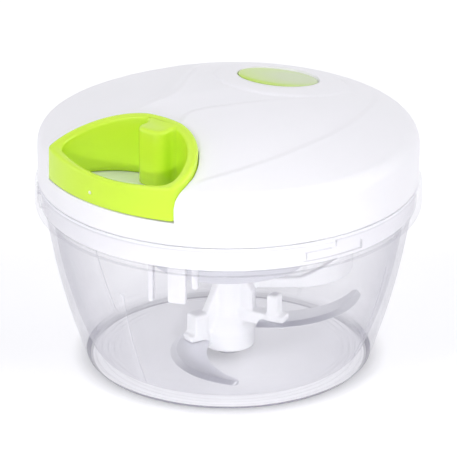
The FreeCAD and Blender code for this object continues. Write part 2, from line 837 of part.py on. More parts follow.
def make_pull_cord():
    """Cord from the knot, through the eyelet and round its lip, to the side of the wound drum."""
    run_r = wound_r + cord_d / 2.0 + 0.1
    corner = Vector(0, cord_bend_y, cord_z)
    lean = math.acos(run_r / -cord_bend_y)
    touch = Vector(run_r * math.sin(lean), -run_r * math.cos(lean), cord_z)
    start = Vector(0, knot_flat_y + seat_clear, cord_z)
    to_start = start - corner
    to_touch = touch - corner
    short_run = min(to_start.Length, to_touch.Length)
    turn = math.pi - to_start.getAngle(to_touch)
    radius = 0.45 * short_run / math.tan(turn / 2.0)
    cut_back = radius * math.tan(turn / 2.0)
    to_start.normalize()
    to_touch.normalize()
    arc_a = corner + to_start * cut_back
    arc_b = corner + to_touch * cut_back
    inward = to_start + to_touch
    inward.normalize()
    centre = corner + inward * (radius / math.cos(turn / 2.0))
    arc_mid = centre - inward * radius
    path = Part.Wire([line(start, arc_a), arc(arc_a, arc_mid, arc_b), line(arc_b, touch)])
    section = Part.Wire(Part.makeCircle(cord_d / 2.0, start, Vector(0, 1, 0)))
    cord = path.makePipeShell([section], True, False)
    tube_volume = math.pi * cord_d ** 2 / 4.0 * path.Length
    print("pull cord: length %.2f, bend radius %.2f" % (path.Length, radius))
    print("pull cord: volume over section times length %.4f" % (cord.Volume / tube_volume))
    return cord


def blade_outline(outer, inner, low):
    """Curved blade: convex outer edge, rounded tip and concave inner edge, in the arm's frame."""
    start, bulge, tip = [Vector(x, y, low) for x, y in outer]
    inner_mid, inner_end = [Vector(x, y, low) for x, y in inner]
    tip_in = tip + Vector(-blade_tip_w, -0.6, 0)
    tip_mid = tip + Vector(-blade_tip_w / 2.0 + 0.1, blade_tip_w * 0.42, 0)
    edges = [
        arc(start, bulge, tip),
        arc(tip, tip_mid, tip_in),
        arc(tip_in, inner_mid, inner_end),
        line(inner_end, start),
    ]
    return prism(edges, blade_t)


def make_blade(arm, outer, inner):
    degrees = arm[0]
    low = arm[4]
    return turned(blade_outline(outer, inner, low + blade_lift), degrees)


def make_low_blade():
    return make_blade(low_arm, low_outer, low_inner)


def make_middle_blade():
    return make_blade(middle_arm, middle_outer, middle_inner)


def make_top_blade():
    return make_blade(top_arm, top_outer, top_inner)


def hub_arm(arm):
    """Arm, foot, upright peg and web of one blade, turned to the arm's direction."""
    degrees, reach, peg_t, peg_w, low, web_drop = arm
    web_top = hub_top_z - web_drop
    bar = box(0.0, reach, -arm_w / 2.0, arm_w / 2.0, low, low + arm_h)
    foot = box(reach - peg_t / 2.0, reach + foot_reach, -foot_w / 2.0, foot_w / 2.0, low, low + arm_h)
    foot = foot.makeFillet(1.2, upright_edges(foot, reach))
    peg = box(reach - peg_t / 2.0, reach + peg_t / 2.0, -peg_w / 2.0, peg_w / 2.0, low, low + peg_h)
    peg = peg.makeFillet(0.9, [edge for edge in peg.Edges if edge.BoundBox.ZMin > low + peg_h - 0.1])
    points = [
        Vector(0, 0, low + 1.0),
        Vector(web_reach, 0, low + 1.0),
        Vector(web_reach, 0, low + peg_h),
        Vector(hub_r - 0.6, 0, web_top),
        Vector(0, 0, web_top),
    ]
    points.append(points[0])
    web = Part.Face(Part.makePolygon(points)).extrude(Vector(0, web_t, 0))
    web.translate(Vector(0, -web_t / 2.0, 0))
    return turned(bar.fuse(foot).fuse(peg).fuse(web), degrees)


def mixing_wing():
    """Thin upright wing that runs out from the hub and sweeps back, in its own frame."""
    half = wing_t / 2.0
    low = wing_low_z
    bulge_x = wing_bend_x + (wing_tip_x - wing_bend_x) * 0.70
    bulge_y = wing_tip_y * 0.24
    root_out = Vector(0, -half, low)
    root_in = Vector(0, half, low)
    bend_out = Vector(wing_bend_x, -half, low)
    bend_in = Vector(wing_bend_x, half, low)
    bulge_out = Vector(bulge_x + half * 0.7, bulge_y - half * 0.7, low)
    bulge_in = Vector(bulge_x - half * 0.7, bulge_y + half * 0.7, low)
    tip_out = Vector(wing_tip_x + half, wing_tip_y, low)
    tip_end = Vector(wing_tip_x, wing_tip_y + half, low)
    tip_in = Vector(wing_tip_x - half, wing_tip_y, low)
    edges = [
        line(root_out, bend_out),
        arc(bend_out, bulge_out, tip_out),
        arc(tip_out, tip_end, tip_in),
        arc(tip_in, bulge_in, bend_in),
        line(bend_in, root_in),
        line(root_in, root_out),
    ]
    wing = prism(edges, wing_tip_h)
    over = [
        Vector(-1, -10, low + wing_root_h),
        Vector(wing_bend_x, -10, low + wing_root_h),
        Vector(wing_tip_x - 3.0, -10, low + wing_tip_h),
        Vector(wing_tip_x - 3.0, -10, low + wing_tip_h + 5.0),
        Vector(-1, -10, low + wing_tip_h + 5.0),
    ]
    over.append(over[0])
    return wing.cut(Part.Face(Part.makePolygon(over)).extrude(Vector(0, 60, 0)))


def make_blade_hub():
    hub = disc(hub_foot_r, hub_low_z, hub_low_z + hub_foot_h)
    hub = hub.fuse(Part.makeCone(hub_foot_r, hub_r, hub_cone_h, Vector(0, 0, hub_low_z + hub_foot_h), up))
    hub = hub.fuse(disc(hub_r, hub_low_z + hub_foot_h, hub_top_z))
    for arm in (low_arm, middle_arm, top_arm):
        hub = hub.fuse(hub_arm(arm))
    hub = hub.fuse(turned(mixing_wing(), wing_deg))
    for blade in (make_low_blade(), make_middle_blade(), make_top_blade()):
        hub = hub.cut(blade)
    bore_r = pin_r + shaft_clear
    hub = hub.cut(disc(bore_r, hub_low_z - 1.0, pin_top_z + 1.0))
    hub = hub.cut(disc(pin_boss_r + moving_gap, hub_low_z - 1.0, pin_boss_top_z + moving_gap))
    bush_low = pin_boss_top_z + moving_gap
    hub = hub.cut(disc(bore_r + hub_bush_wall + seat_clear, bush_low - 0.5, bush_low + hub_bush_h))
    return hub.cut(dog_socket(hub_top_z - socket_depth, hub_top_z + 1.0))


def make_hub_bush():
    low = pin_boss_top_z + moving_gap
    return tube(pin_r + shaft_clear + hub_bush_wall, pin_r + shaft_clear, low, low + hub_bush_h)


nodes = {
    "bowl": make_bowl,
    "pivot_pin": make_pivot_pin,
    "lid_seal": make_lid_seal,
    "lid_shell": make_lid_shell,
    "lid_base": make_lid_base,
    "drive_housing": make_drive_housing,
    "top_disc": make_top_disc,
    "cord_eyelet": make_cord_eyelet,
    "spring_case": make_spring_case,
    "recoil_spring": make_recoil_spring,
    "axle_pin": make_axle_pin,
    "base_screws": make_base_screws,
    "shaft_bush": make_shaft_bush,
    "thrust_washer": make_thrust_washer,
    "cord_spool": make_cord_spool,
    "cord_winding": make_cord_winding,
    "spool_washer": make_spool_washer,
    "drive_shaft": make_drive_shaft,
    "pawl_pins": make_pawl_pins,
    "left_pawl": make_left_pawl,
    "right_pawl": make_right_pawl,
    "pull_handle": make_pull_handle,
    "cord_knot": make_cord_knot,
    "pull_cord": make_pull_cord,
    "blade_hub": make_blade_hub,
    "hub_bush": make_hub_bush,
    "low_blade": make_low_blade,
    "middle_blade": make_middle_blade,
    "top_blade": make_top_blade,
}


def main():
    os.makedirs("parts", exist_ok=True)
    for name, make in nodes.items():
        shape = make()
        if not shape.isValid():
            print("not valid:", name)
        shape.exportStep("parts/%s.step" % name)


main()
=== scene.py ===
import math

import bpy
import numpy as np
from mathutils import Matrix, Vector
from mathutils.geometry import delaunay_2d_cdt


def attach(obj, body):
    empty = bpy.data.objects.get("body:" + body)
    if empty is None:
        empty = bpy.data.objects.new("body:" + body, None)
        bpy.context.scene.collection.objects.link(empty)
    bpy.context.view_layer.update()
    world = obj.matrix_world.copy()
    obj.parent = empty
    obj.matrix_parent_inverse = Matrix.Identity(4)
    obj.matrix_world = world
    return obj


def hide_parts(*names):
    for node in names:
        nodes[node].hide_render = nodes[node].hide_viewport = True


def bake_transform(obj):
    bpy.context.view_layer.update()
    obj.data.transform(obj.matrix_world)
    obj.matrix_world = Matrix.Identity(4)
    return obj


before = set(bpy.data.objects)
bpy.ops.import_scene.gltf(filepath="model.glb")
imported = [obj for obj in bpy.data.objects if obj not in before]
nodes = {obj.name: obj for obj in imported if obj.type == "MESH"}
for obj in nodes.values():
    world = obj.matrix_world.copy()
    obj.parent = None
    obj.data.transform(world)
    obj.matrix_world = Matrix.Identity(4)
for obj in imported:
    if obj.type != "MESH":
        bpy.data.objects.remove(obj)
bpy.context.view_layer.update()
scene = bpy.context.scene

# Lengths are in millimetres until a mesh is made. The handle faces -Y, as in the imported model.

# Bowl
RIBS_DEG = (-87.0, 18.5, 98.0, 191.0)
RIB_COLUMNS_DEG = (-1.3, -1.1, -0.95, -0.8, -0.4, 0.4, 0.8, 0.95, 1.1, 1.3)
RIB_FOOT_Z = (3.3, 5.0)
RIB_TOP_Z = 40.5
RIB_HALF_DEG = (0.75, 1.15)
RIB_DEPTH = 0.6
FIRST_LUG_DEG = -21.3
LUG_EDGES_DEG = (-5.55, -5.35, 5.35, 5.55, 14.85, 15.05)
LUG_TRACK_Z = (57.9, 60.9)
LUG_DEPTH = 1.2

# Lid
LID_R = 63.6
CROWN_R = 183.0
CROWN_Z = 92.5 - 183.0
EDGE_ROUND = 6.0
LID_EDGE_Z = 64.3
LID_WALL = 2.2
PLATFORM = (-3.2, 30.5, 23.0)  # middle and radius
PLATFORM_RISE = 0.6
DISC = (-3.2, 29.2, 13.5, 1.6)  # middle, radius and thickness
DISC_TILT_DEG = 2.5

# Handle
HANDLE_X = -0.8
HANDLE_BACK_Y = -29.4
HANDLE_HALF_W = 28.2
HANDLE_HALF_L = 24.8
HANDLE_LOW_Z = 72.6
HANDLE_CENTRE_Y = HANDLE_BACK_Y - HANDLE_HALF_L
HANDLE_WIDTH = 3.4
RIM_POINTS = ((-63.6, 82.5), (-48.0, 86.9), (HANDLE_BACK_Y + 0.5, 93.25))  # y and z of the handle's rim
GATE_MARK = (-3.7, 76.4)  # degrees round the lid's axis and height

# Cord
CORD_Z = 78.0
CORD_R = 0.9
WOUND_R = 15.6
EYELET_Y = -18.5

WHITE = (1.0, 1.0, 1.0, 1.0)


# ---------------------------------------------------------------- small helpers


def add_object(name, data):
    obj = bpy.data.objects.new(name, data)
    scene.collection.objects.link(obj)
    return obj


def make_piece(name, points, faces, body, materials, face_slots=None, normals=None, sharp=None):
    """Smooth mesh object from points in millimetres, riding on a body.

    A normal of zero is worked out from the faces. Edges over the sharp angle in degrees stay crisp.
    """
    mesh = bpy.data.meshes.new(name)
    mesh.from_pydata([tuple(p) for p in np.asarray(points, float) * 0.001], [], faces)
    for material in materials:
        mesh.materials.append(material)
    if face_slots is not None:
        mesh.polygons.foreach_set("material_index", face_slots)
    mesh.polygons.foreach_set("use_smooth", [True] * len(mesh.polygons))
    mesh.validate()
    mesh.update()
    if sharp:
        mesh.set_sharp_from_angle(angle=math.radians(sharp))
    if normals is not None:
        mesh.normals_split_custom_set_from_vertices([tuple(n) for n in normals])
    obj = add_object(name, mesh)
    if body:
        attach(obj, body)
    return obj


def grid_faces(rows, columns, closed_rows=False, closed_columns=False, start=0):
    """Quads of a grid of points stored row by row."""
    faces = []
    for i in range(rows if closed_rows else rows - 1):
        for j in range(columns if closed_columns else columns - 1):
            a = i * columns + j
            b = i * columns + (j + 1) % columns
            c = ((i + 1) % rows) * columns + (j + 1) % columns
            d = ((i + 1) % rows) * columns + j
            faces.append((start + a, start + b, start + c, start + d))
    return faces


def step(x, low, high):
    """Smooth rise from 0 at low to 1 at high."""
    t = np.clip((np.asarray(x, float) - low) / (high - low), 0.0, 1.0)
    return t * t * (3.0 - 2.0 * t)


def window(x, low, high, fall, end):
    """Smooth rise from low to high and fall back from fall to end."""
    return step(x, low, high) * (1.0 - step(x, fall, end))


def unit(v):
    """Vectors of length one."""
    return v / np.linalg.norm(v, axis=-1, keepdims=True)


def at_height(xy, z):
    """Points in plan, all at one height or each at its own."""
    return np.column_stack([xy, np.full(len(xy), z)])


def circle(r, count, shift=0.0):
    """Points round a circle, turned by a share of their spacing."""
    turns = [2.0 * math.pi * (i + shift) / count for i in range(count)]
    return [(r * math.cos(a), r * math.sin(a)) for a in turns]


def circle_through(a, m, b):
    """Middle and radius of the circle through three points."""
    (ax, ay), (mx, my), (bx, by) = a, m, b
    d = 2.0 * (ax * (my - by) + mx * (by - ay) + bx * (ay - my))
    sa, sm, sb = ax**2 + ay**2, mx**2 + my**2, bx**2 + by**2
    ux = (sa * (my - by) + sm * (by - ay) + sb * (ay - my)) / d
    uy = (sa * (bx - mx) + sm * (ax - bx) + sb * (mx - ax)) / d
    return ux, uy, math.hypot(ax - ux, ay - uy)


def arc_points(a, m, b, n):
    """n points along the arc through three points, the first included and the last left out."""
    ux, uy, r = circle_through(a, m, b)
    t0, tm, t1 = (math.atan2(y - uy, x - ux) for x, y in (a, m, b))
    turn = (t1 - t0) % (2.0 * math.pi)
    if (tm - t0) % (2.0 * math.pi) > turn:
        turn -= 2.0 * math.pi
    return [(ux + r * math.cos(t0 + turn * i / n), uy + r * math.sin(t0 + turn * i / n)) for i in range(n)]


def spline(points, n):
    """Points along a smooth curve through the given ones."""
    p = np.asarray(points, float)
    p = np.vstack([2.0 * p[0] - p[1], p, 2.0 * p[-1] - p[-2]])
    out = []
    for i in range(1, len(p) - 2):
        for k in range(n):
            t = k / n
            first = (p[i + 1] - p[i - 1]) * t
            second = (2.0 * p[i - 1] - 5.0 * p[i] + 4.0 * p[i + 1] - p[i + 2]) * t**2
            third = (3.0 * p[i] - p[i - 1] - 3.0 * p[i + 1] + p[i + 2]) * t**3
            out.append(0.5 * (2.0 * p[i] + first + second + third))
    out.append(p[-2])
    return np.array(out)


# ---------------------------------------------------------------- materials

# The clear bowl: the painted shade along its foot's edge and the painted pale highlight on its ribs, how opaque the
# foot's painted edge is, and the shares of the veil it has elsewhere; the veil is the plastic's faint tint, dark
# enough to paint the shade seen through the bowl
FOOT_EDGE_SHADE = (0.26, 0.25, 0.32)
FOOT_SHADE_ALPHA = 0.7
COLLAR_SHARE = 0.55
FLOOR_SHARE = 1.45
RIB_HIGHLIGHT_COLOUR = (0.90, 0.90, 0.95)


def join(tree, node, inputs):
    """Fill a node's inputs, each with a socket to link or with a plain value."""
    for name, value in inputs.items():
        if isinstance(value, bpy.types.NodeSocket):
            tree.links.new(value, node.inputs[name])
        else:
            node.inputs[name].default_value = value


def add_node(tree, kind, inputs=None):
    """Shader node of a kind, with its inputs filled."""
    node = tree.nodes.new("ShaderNode" + kind)
    join(tree, node, inputs or {})
    return node


def new_material(name):
    """Material with a principled shader, and the object's own coordinates for its patterns."""
    material = bpy.data.materials.new(name)
    material.use_nodes = True
    tree = material.node_tree
    tree.nodes.clear()
    shader = add_node(tree, "BsdfPrincipled")
    add_node(tree, "OutputMaterial", {0: shader.outputs[0]})
    return material, tree, shader, add_node(tree, "TexCoord").outputs["Object"]


def noise(tree, vector, scale, detail=3.0, rough=0.55, stretch=None):
    """Noise pattern, its space stretched first if asked."""
    if stretch:
        vector = add_node(tree, "Mapping", {"Vector": vector, "Scale": stretch}).outputs[0]
    inputs = {"Vector": vector, "Scale": scale, "Detail": detail, "Roughness": rough}
    return add_node(tree, "TexNoise", inputs).outputs["Fac"]


def ramp(tree, value, low, high, a, b):
    """Map a value's range onto two numbers."""
    inputs = {"Value": value, "From Min": low, "From Max": high, "To Min": a, "To Max": b}
    return add_node(tree, "MapRange", inputs).outputs[0]


def mix_colour(tree, factor, a, b):
    """Mix of two colours, each a socket or plain numbers, by a factor's socket."""
    node = tree.nodes.new("ShaderNodeMix")
    node.data_type = "RGBA"
    a, b = (v + (1.0,) if isinstance(v, tuple) else v for v in (a, b))
    join(tree, node, {0: factor, 6: a, 7: b})
    return node.outputs[2]


def maths(tree, operation, a, b=0.0):
    """Math node, its inputs sockets or plain numbers."""
    node = tree.nodes.new("ShaderNodeMath")
    node.operation = operation
    join(tree, node, {0: a, 1: b})
    return node.outputs[0]


def times(tree, *values):
    """Product of two or more values."""
    product = values[0]
    for value in values[1:]:
        product = maths(tree, "MULTIPLY", product, value)
    return product


def measure(tree, operation, place, point=(0.0, 0.0, 0.0)):
    """Length of a vector or its distance from a point in metres."""
    node = tree.nodes.new("ShaderNodeVectorMath")
    node.operation = operation
    join(tree, node, {0: place, 1: point})
    return node.outputs["Value"]


def bump(tree, height, distance):
    return add_node(tree, "Bump", {"Height": height, "Strength": 1.0, "Distance": distance}).outputs[0]


def plastic(name, colour, other, rough, grain, depth, coat=0.0, ior=1.49):
    """Moulded plastic: faint cloudy colour and a fine surface ripple."""
    material, tree, shader, place = new_material(name)
    cloud = ramp(tree, noise(tree, place, 38.0, 1.0), 0.25, 0.75, 0.0, 1.0)
    ripple = bump(tree, noise(tree, place, grain, 2.0), depth)
    join(tree, shader, {"Base Color": mix_colour(tree, cloud, colour, other), "Roughness": rough, "IOR": ior})
    join(tree, shader, {"Normal": ripple, "Coat Weight": coat, "Coat Roughness": 0.12})
    return material


def metal(name, colour, other, rough, lines, depth=0.000004):
    """Metal with fine brush lines along one direction of the object."""
    material, tree, shader, place = new_material(name)
    brushed = noise(tree, place, 1.0, 3.0, 0.6, stretch=lines)
    shade = ramp(tree, brushed, 0.3, 0.7, 0.0, 1.0)
    gloss = ramp(tree, brushed, 0.25, 0.75, *rough)
    join(tree, shader, {"Base Color": mix_colour(tree, shade, colour, other), "Metallic": 1.0})
    join(tree, shader, {"Roughness": gloss, "Normal": bump(tree, brushed, depth)})
    return material


def clear_plastic(name, veil, facing, grazing, rough=0.06):
    """Clear moulded plastic with gloss and soft flow marks.

    Its faint veil, a tint of the plastic dark enough to paint the shade seen through the bowl, thickens at grazing
    angles and is thin in the collar. The floor has fine rings, the foot's edge a dark band of painted shade, and
    the ribs a painted pale highlight.
    """
    material, tree, shader, place = new_material(name)
    parts = add_node(tree, "SeparateXYZ", {0: place}).outputs
    height = parts["Z"]
    radius = maths(tree, "SQRT", maths(tree, "ADD", *(maths(tree, "POWER", parts[axis], 2.0) for axis in "XY")))
    turned = add_node(tree, "LayerWeight", {"Blend": 0.5}).outputs["Facing"]
    cloud = ramp(tree, noise(tree, place, 30.0, 4.0, 0.55), 0.35, 0.65, 0.0, 1.0)
    # painted shade: the veil's dark lavender darkens what is seen through the bowl; the cloud varies its tone at
    # random
    body = mix_colour(tree, cloud, veil, tuple(c * 0.94 for c in veil))
    # painted shade: a dark, nearly opaque band on the foot's outer edge at grazing angles
    low_edge = ramp(tree, height, 0.0016, 0.0020, 1.0, 0.0)
    outer_edge = ramp(tree, radius, 0.0466, 0.0468, 0.0, 1.0)
    foot = times(tree, low_edge, outer_edge, ramp(tree, turned, 0.40, 0.60, 0.0, 1.0))
    body = mix_colour(tree, foot, body, FOOT_EDGE_SHADE)
    # painted highlight: the ribs turn pale
    rib = tree.nodes.new("ShaderNodeAttribute")
    rib.attribute_name = "rib"
    rib = rib.outputs["Fac"]
    body = mix_colour(tree, rib, body, RIB_HIGHLIGHT_COLOUR)
    graze = times(tree, maths(tree, "POWER", turned, 3.0), ramp(tree, height, 0.0030, 0.0160, 0.12, 1.0))
    # the veil is thinner in the collar and thicker near the floor, where its painted shade is deeper
    collar = ramp(tree, height, 0.0530, 0.0542, 1.0, COLLAR_SHARE)
    floor = ramp(tree, height, 0.0070, 0.0120, FLOOR_SHARE, 1.0)
    thick = times(tree, ramp(tree, graze, 0.0, 1.0, facing, grazing), collar, floor)
    wave = add_node(tree, "TexWave", {"Vector": place, "Scale": 150.0, "Distortion": 0.3})
    wave.wave_type = "RINGS"
    wave.rings_direction = "Z"
    on_floor = ramp(tree, height, 0.0035, 0.0050, 1.0, 0.0)
    band = times(tree, ramp(tree, radius, 0.036, 0.040, 0.0, 1.0), on_floor)
    lines = times(tree, maths(tree, "POWER", wave.outputs["Fac"], 6.0), band)
    for mask, share in ((lines, 0.08), (foot, FOOT_SHADE_ALPHA), (rib, 0.08)):
        thick = maths(tree, "ADD", thick, times(tree, mask, share))
    shadow = add_node(tree, "LightPath").outputs["Is Shadow Ray"]
    alpha = times(tree, thick, ramp(tree, shadow, 0.0, 1.0, 1.0, 0.5))
    marks = noise(tree, place, 210.0, 4.0, 0.6)
    flow = noise(tree, place, 26.0, 3.0, 0.5, stretch=(1.0, 1.0, 0.35))
    join(tree, shader, {"Base Color": body, "Roughness": ramp(tree, marks, 0.4, 0.75, rough, rough + 0.06)})
    join(tree, shader, {"Alpha": alpha, "Normal": bump(tree, flow, 0.0001), "IOR": 1.5})
    return material


def sheen_disc_plastic(name, centre, edge, place_mm, reach):
    """Glossy plastic with a painted pale sheen in the middle of a round face.

    The centre colour is the painted sheen, the edge colour the plastic's own green, place_mm the sheen's middle and
    reach its spread.
    """
    material, tree, shader, place = new_material(name)
    # painted sheen: paler towards a spot near the middle, its edge spread by noise
    away = measure(tree, "DISTANCE", place, tuple(v * 0.001 for v in place_mm))
    spread = maths(tree, "ADD", away, ramp(tree, noise(tree, place, 60.0, 4.0), 0.3, 0.7, -0.0012, 0.0012))
    outward = ramp(tree, spread, reach * 0.0003, reach * 0.001, 0.0, 1.0)
    ripple = bump(tree, noise(tree, place, 500.0, 2.0), 0.000002)
    join(tree, shader, {"Base Color": mix_colour(tree, outward, centre, edge), "Roughness": 0.28})
    join(tree, shader, {"Normal": ripple, "Coat Weight": 0.1, "Coat Roughness": 0.15})
    return material


def fibre(name, colour, other, twist):
    """Braided cord."""
    material, tree, shader, place = new_material(name)
    wave = add_node(tree, "TexWave", {"Vector": place, "Scale": twist, "Distortion": 1.5})
    wave.bands_direction = "DIAGONAL"
    braid = wave.outputs["Fac"]
    join(tree, shader, {"Base Color": mix_colour(tree, braid, colour, other), "Roughness": 0.85})
    join(tree, shader, {"Normal": bump(tree, braid, 0.0001)})
    return material


# painted shade: the veil colour is a dark lavender that darkens what is seen through the bowl
clear = clear_plastic("clear_bowl", (0.54, 0.53, 0.61), facing=0.078, grazing=0.60)
white_lid = plastic("white_lid", (0.90, 0.895, 0.922), (0.89, 0.885, 0.912), 0.33, 400.0, 0.000002)
white_inner = plastic("white_inner", (0.95, 0.95, 0.96), (0.93, 0.93, 0.945), 0.36, 500.0, 0.000003)
# painted shade: the drive housing is white plastic drawn grey for the shade it sits in under the lid
housing_painted_shade = plastic("housing_painted_shade", (0.68, 0.68, 0.72), (0.65, 0.65, 0.69), 0.40, 500.0, 0.000003)
inner_plastic = plastic("inner_plastic", (0.80, 0.80, 0.78), (0.74, 0.74, 0.72), 0.48, 1200.0, 0.00001)
seal = plastic("seal_rubber", (0.86, 0.86, 0.90), (0.82, 0.82, 0.86), 0.52, 1500.0, 0.00001, ior=1.4)
green = plastic("green_handle", (0.64, 0.90, 0.052), (0.62, 0.88, 0.046), 0.22, 500.0, 0.000002, 0.1, 1.38)
# painted highlight: the gate mark's pale colour stands in for the highlight on the small raised dot
gate_mark_highlight = plastic("gate_mark_highlight", (0.92, 0.97, 0.75), (0.90, 0.96, 0.72), 0.33, 500.0, 0.000002)
# painted sheen: pale round a spot near the disc's middle, lime green at its rim
green_disc_sheen = sheen_disc_plastic("green_disc_sheen", (0.56, 0.67, 0.36), (0.54, 0.75, 0.11), (1.5, 32.5, 90.8), reach=19.5)
blade_steel = metal(
    "blade_steel", (0.80, 0.80, 0.84), (0.76, 0.76, 0.80), (0.29, 0.37), (220.0, 1600.0, 220.0), 0.000002
)
ground_steel = metal("ground_steel", (0.74, 0.74, 0.78), (0.68, 0.68, 0.72), (0.30, 0.40), (1600.0, 220.0, 220.0))
dark_steel = metal("turned_steel", (0.62, 0.62, 0.64), (0.52, 0.52, 0.54), (0.22, 0.34), (300.0, 300.0, 2600.0))
spring_steel = metal("spring_steel", (0.42, 0.43, 0.46), (0.34, 0.35, 0.38), (0.2, 0.34), (400.0, 400.0, 1800.0))
bronze = metal("bush_bronze", (0.72, 0.50, 0.26), (0.62, 0.42, 0.20), (0.3, 0.45), (500.0, 500.0, 500.0))
cord_material = fibre("cord_fibre", (0.86, 0.86, 0.82), (0.60, 0.60, 0.56), twist=2600.0)

# ---------------------------------------------------------------- bowl


def bowl_section():
    """Closed outline of the wall as (radius, height, kind): kind 1 carries ribs, and kind 2 has the lid's slots."""
    rows = [(2.02, 0.8, 0), (30.0, 0.8, 0), (44.9, 0.8, 0), (45.2, 0.6, 0), (45.25, 0.15, 0), (45.4, 0.0, 0)]
    rows += [(46.3, 0.0, 0), (46.5, 0.04, 0), (46.65, 0.15, 0), (47.9, 1.4, 0), (48.1, 1.75, 0)]
    rows += [(r, z, 0) for r, z in arc_points((48.15, 2.0), (54.6, 21.5), (61.3, 54.0), 44)]
    rows += [(61.3, 53.8, 0), (61.4, 54.0, 0), (62.2, 54.02, 0)]
    rows += [(r, z, 0) for r, z in arc_points((62.4, 54.05), (64.1, 54.72), (64.77, 56.4), 8)]
    rows += [(64.77, 56.4, 0), (64.77, 58.0, 0), (64.77, 60.5, 0), (64.77, 62.7, 0)]
    rows += [(64.7, 63.0, 0), (64.5, 63.18, 0), (64.2, 63.2, 0), (62.95, 63.2, 2), (62.8, 63.1, 2)]
    rows += [(62.8, z, 2) for z in (62.0, 60.95, 60.85, 59.5, 57.95, 57.85, 56.6, 56.1)]
    rows += [(62.7, 55.92, 0), (62.4, 55.9, 0), (59.4, 55.9, 0), (59.2, 55.8, 0)]
    inner = np.array(arc_points((59.1, 55.6), (52.4, 22.3), (46.1, 6.2), 56))
    levels = [RIB_TOP_Z + d for d in (0.5, 0.3, 0.1, -0.1, -0.3, -0.5)]
    heights = sorted([z for z in inner[:, 1] if abs(z - RIB_TOP_Z) > 0.6] + levels, reverse=True)
    rows += [(float(np.interp(z, inner[::-1, 1], inner[::-1, 0])), float(z), 1) for z in heights]
    corner = [(46.1, 6.2), (45.72, 5.5), (45.3, 4.9), (44.8, 4.3), (44.2, 3.8), (43.6, 3.4), (42.9, 3.15)]
    rows += [(r, z, 1) for r, z in corner]
    floor = [(42.0, 3.05), (41.6, 2.8), (40.6, 2.72)]
    floor += [(40.0, 2.6), (39.2, 2.6), (38.8, 2.45), (38.0, 2.45), (24.0, 2.45), (10.0, 2.5), (5.0, 2.6)]
    rows += [(r, z, 0) for r, z in floor]
    rows += [(4.6, 2.8, 0), (4.4, 3.2, 0), (4.4, 4.5, 0), (4.1, 4.8, 0), (2.2, 4.8, 0), (2.02, 4.6, 0)]
    return rows


def lug_at(angle):
    """How far an angle lies in a slot's entry and in its track, both from 0 to 1 with soft sides."""
    entry = track = 0.0
    for i in range(3):
        a = (angle - FIRST_LUG_DEG - 120.0 * i + 180.0) % 360.0 - 180.0
        entry = max(entry, float(window(a, *LUG_EDGES_DEG[:4])))
        track = max(track, float(window(a, *LUG_EDGES_DEG[:2], *LUG_EDGES_DEG[4:])))
    return entry, track


def make_bowl():
    """Bowl turned about its axis, with ribs inside and the lid's slots in its collar."""
    rows = bowl_section()
    angles = set(np.arange(0.0, 360.0, 2.0))
    for rib in RIBS_DEG:
        angles.update((rib + d) % 360.0 for d in RIB_COLUMNS_DEG)
    for i in range(3):
        angles.update((FIRST_LUG_DEG + 120.0 * i + d) % 360.0 for d in LUG_EDGES_DEG)
    angles = sorted(angles)
    points = []
    ribs = []
    for r, z, kind in rows:
        for degrees in angles:
            radius = r
            raised = 0.0
            if kind == 1:
                rise = float(window(z, *RIB_FOOT_Z, RIB_TOP_Z - 0.5, RIB_TOP_Z + 0.5))
                for rib in RIBS_DEG:
                    a = abs((degrees - rib + 180.0) % 360.0 - 180.0)
                    raised = max(raised, rise * float(1.0 - step(a, *RIB_HALF_DEG)))
                radius -= RIB_DEPTH * raised
            if kind == 2 and z > LUG_TRACK_Z[0]:
                entry, track = lug_at(degrees)
                radius += LUG_DEPTH * (max(entry, track) if z < LUG_TRACK_Z[1] else entry)
            a = math.radians(degrees)
            points.append((radius * math.cos(a), radius * math.sin(a), z))
            ribs.append(raised)
    faces = grid_faces(len(rows), len(angles), closed_rows=True, closed_columns=True)
    obj = make_piece("bowl_body", points, faces, "bowl", [clear])
    obj.data.attributes.new("rib", "FLOAT", "POINT").data.foreach_set("value", ribs)
    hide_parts("bowl")
    return obj


# ---------------------------------------------------------------- lid


# The outside is measured as a run from the top's middle: over the crown, the rounded edge and the wall
RING_R = LID_R - EDGE_ROUND
LEAN = math.asin(RING_R / (CROWN_R - EDGE_ROUND))
RING_Z = CROWN_Z + math.sqrt((CROWN_R - EDGE_ROUND) ** 2 - RING_R**2)
CROWN_RUN = CROWN_R * LEAN
ROUND_RUN = EDGE_ROUND * (math.pi / 2.0 - LEAN)
WALL_START = CROWN_RUN + ROUND_RUN
WALL_RUN = RING_Z - LID_EDGE_Z


def lid_section(run):
    """Radius, height and outward normal at a distance along the outside from the top's middle."""
    run = np.asarray(run, float)
    a = run / CROWN_R
    b = LEAN + (run - CROWN_RUN) / EDGE_ROUND
    on_crown = run <= CROWN_RUN
    on_wall = run >= WALL_START
    tilt = np.where(on_crown, a, np.where(on_wall, math.pi / 2.0, b))
    r = np.where(on_crown, CROWN_R * np.sin(a), np.where(on_wall, LID_R, RING_R + EDGE_ROUND * np.sin(b)))
    z = np.where(on_wall, RING_Z - (run - WALL_START), RING_Z + EDGE_ROUND * np.cos(b))
    z = np.where(on_crown, CROWN_Z + CROWN_R * np.cos(a), z)
    return r, z, np.sin(tilt), np.cos(tilt)


def run_of_radius(r):
    """Run at which the outside has a radius."""
    r = np.asarray(r, float)
    crown = CROWN_R * np.arcsin(np.clip(r / CROWN_R, -1.0, 1.0))
    edge = CROWN_RUN + EDGE_ROUND * (np.arcsin(np.clip((r - RING_R) / EDGE_ROUND, -1.0, 1.0)) - LEAN)
    return np.where(r <= CROWN_R * math.sin(LEAN), crown, edge)


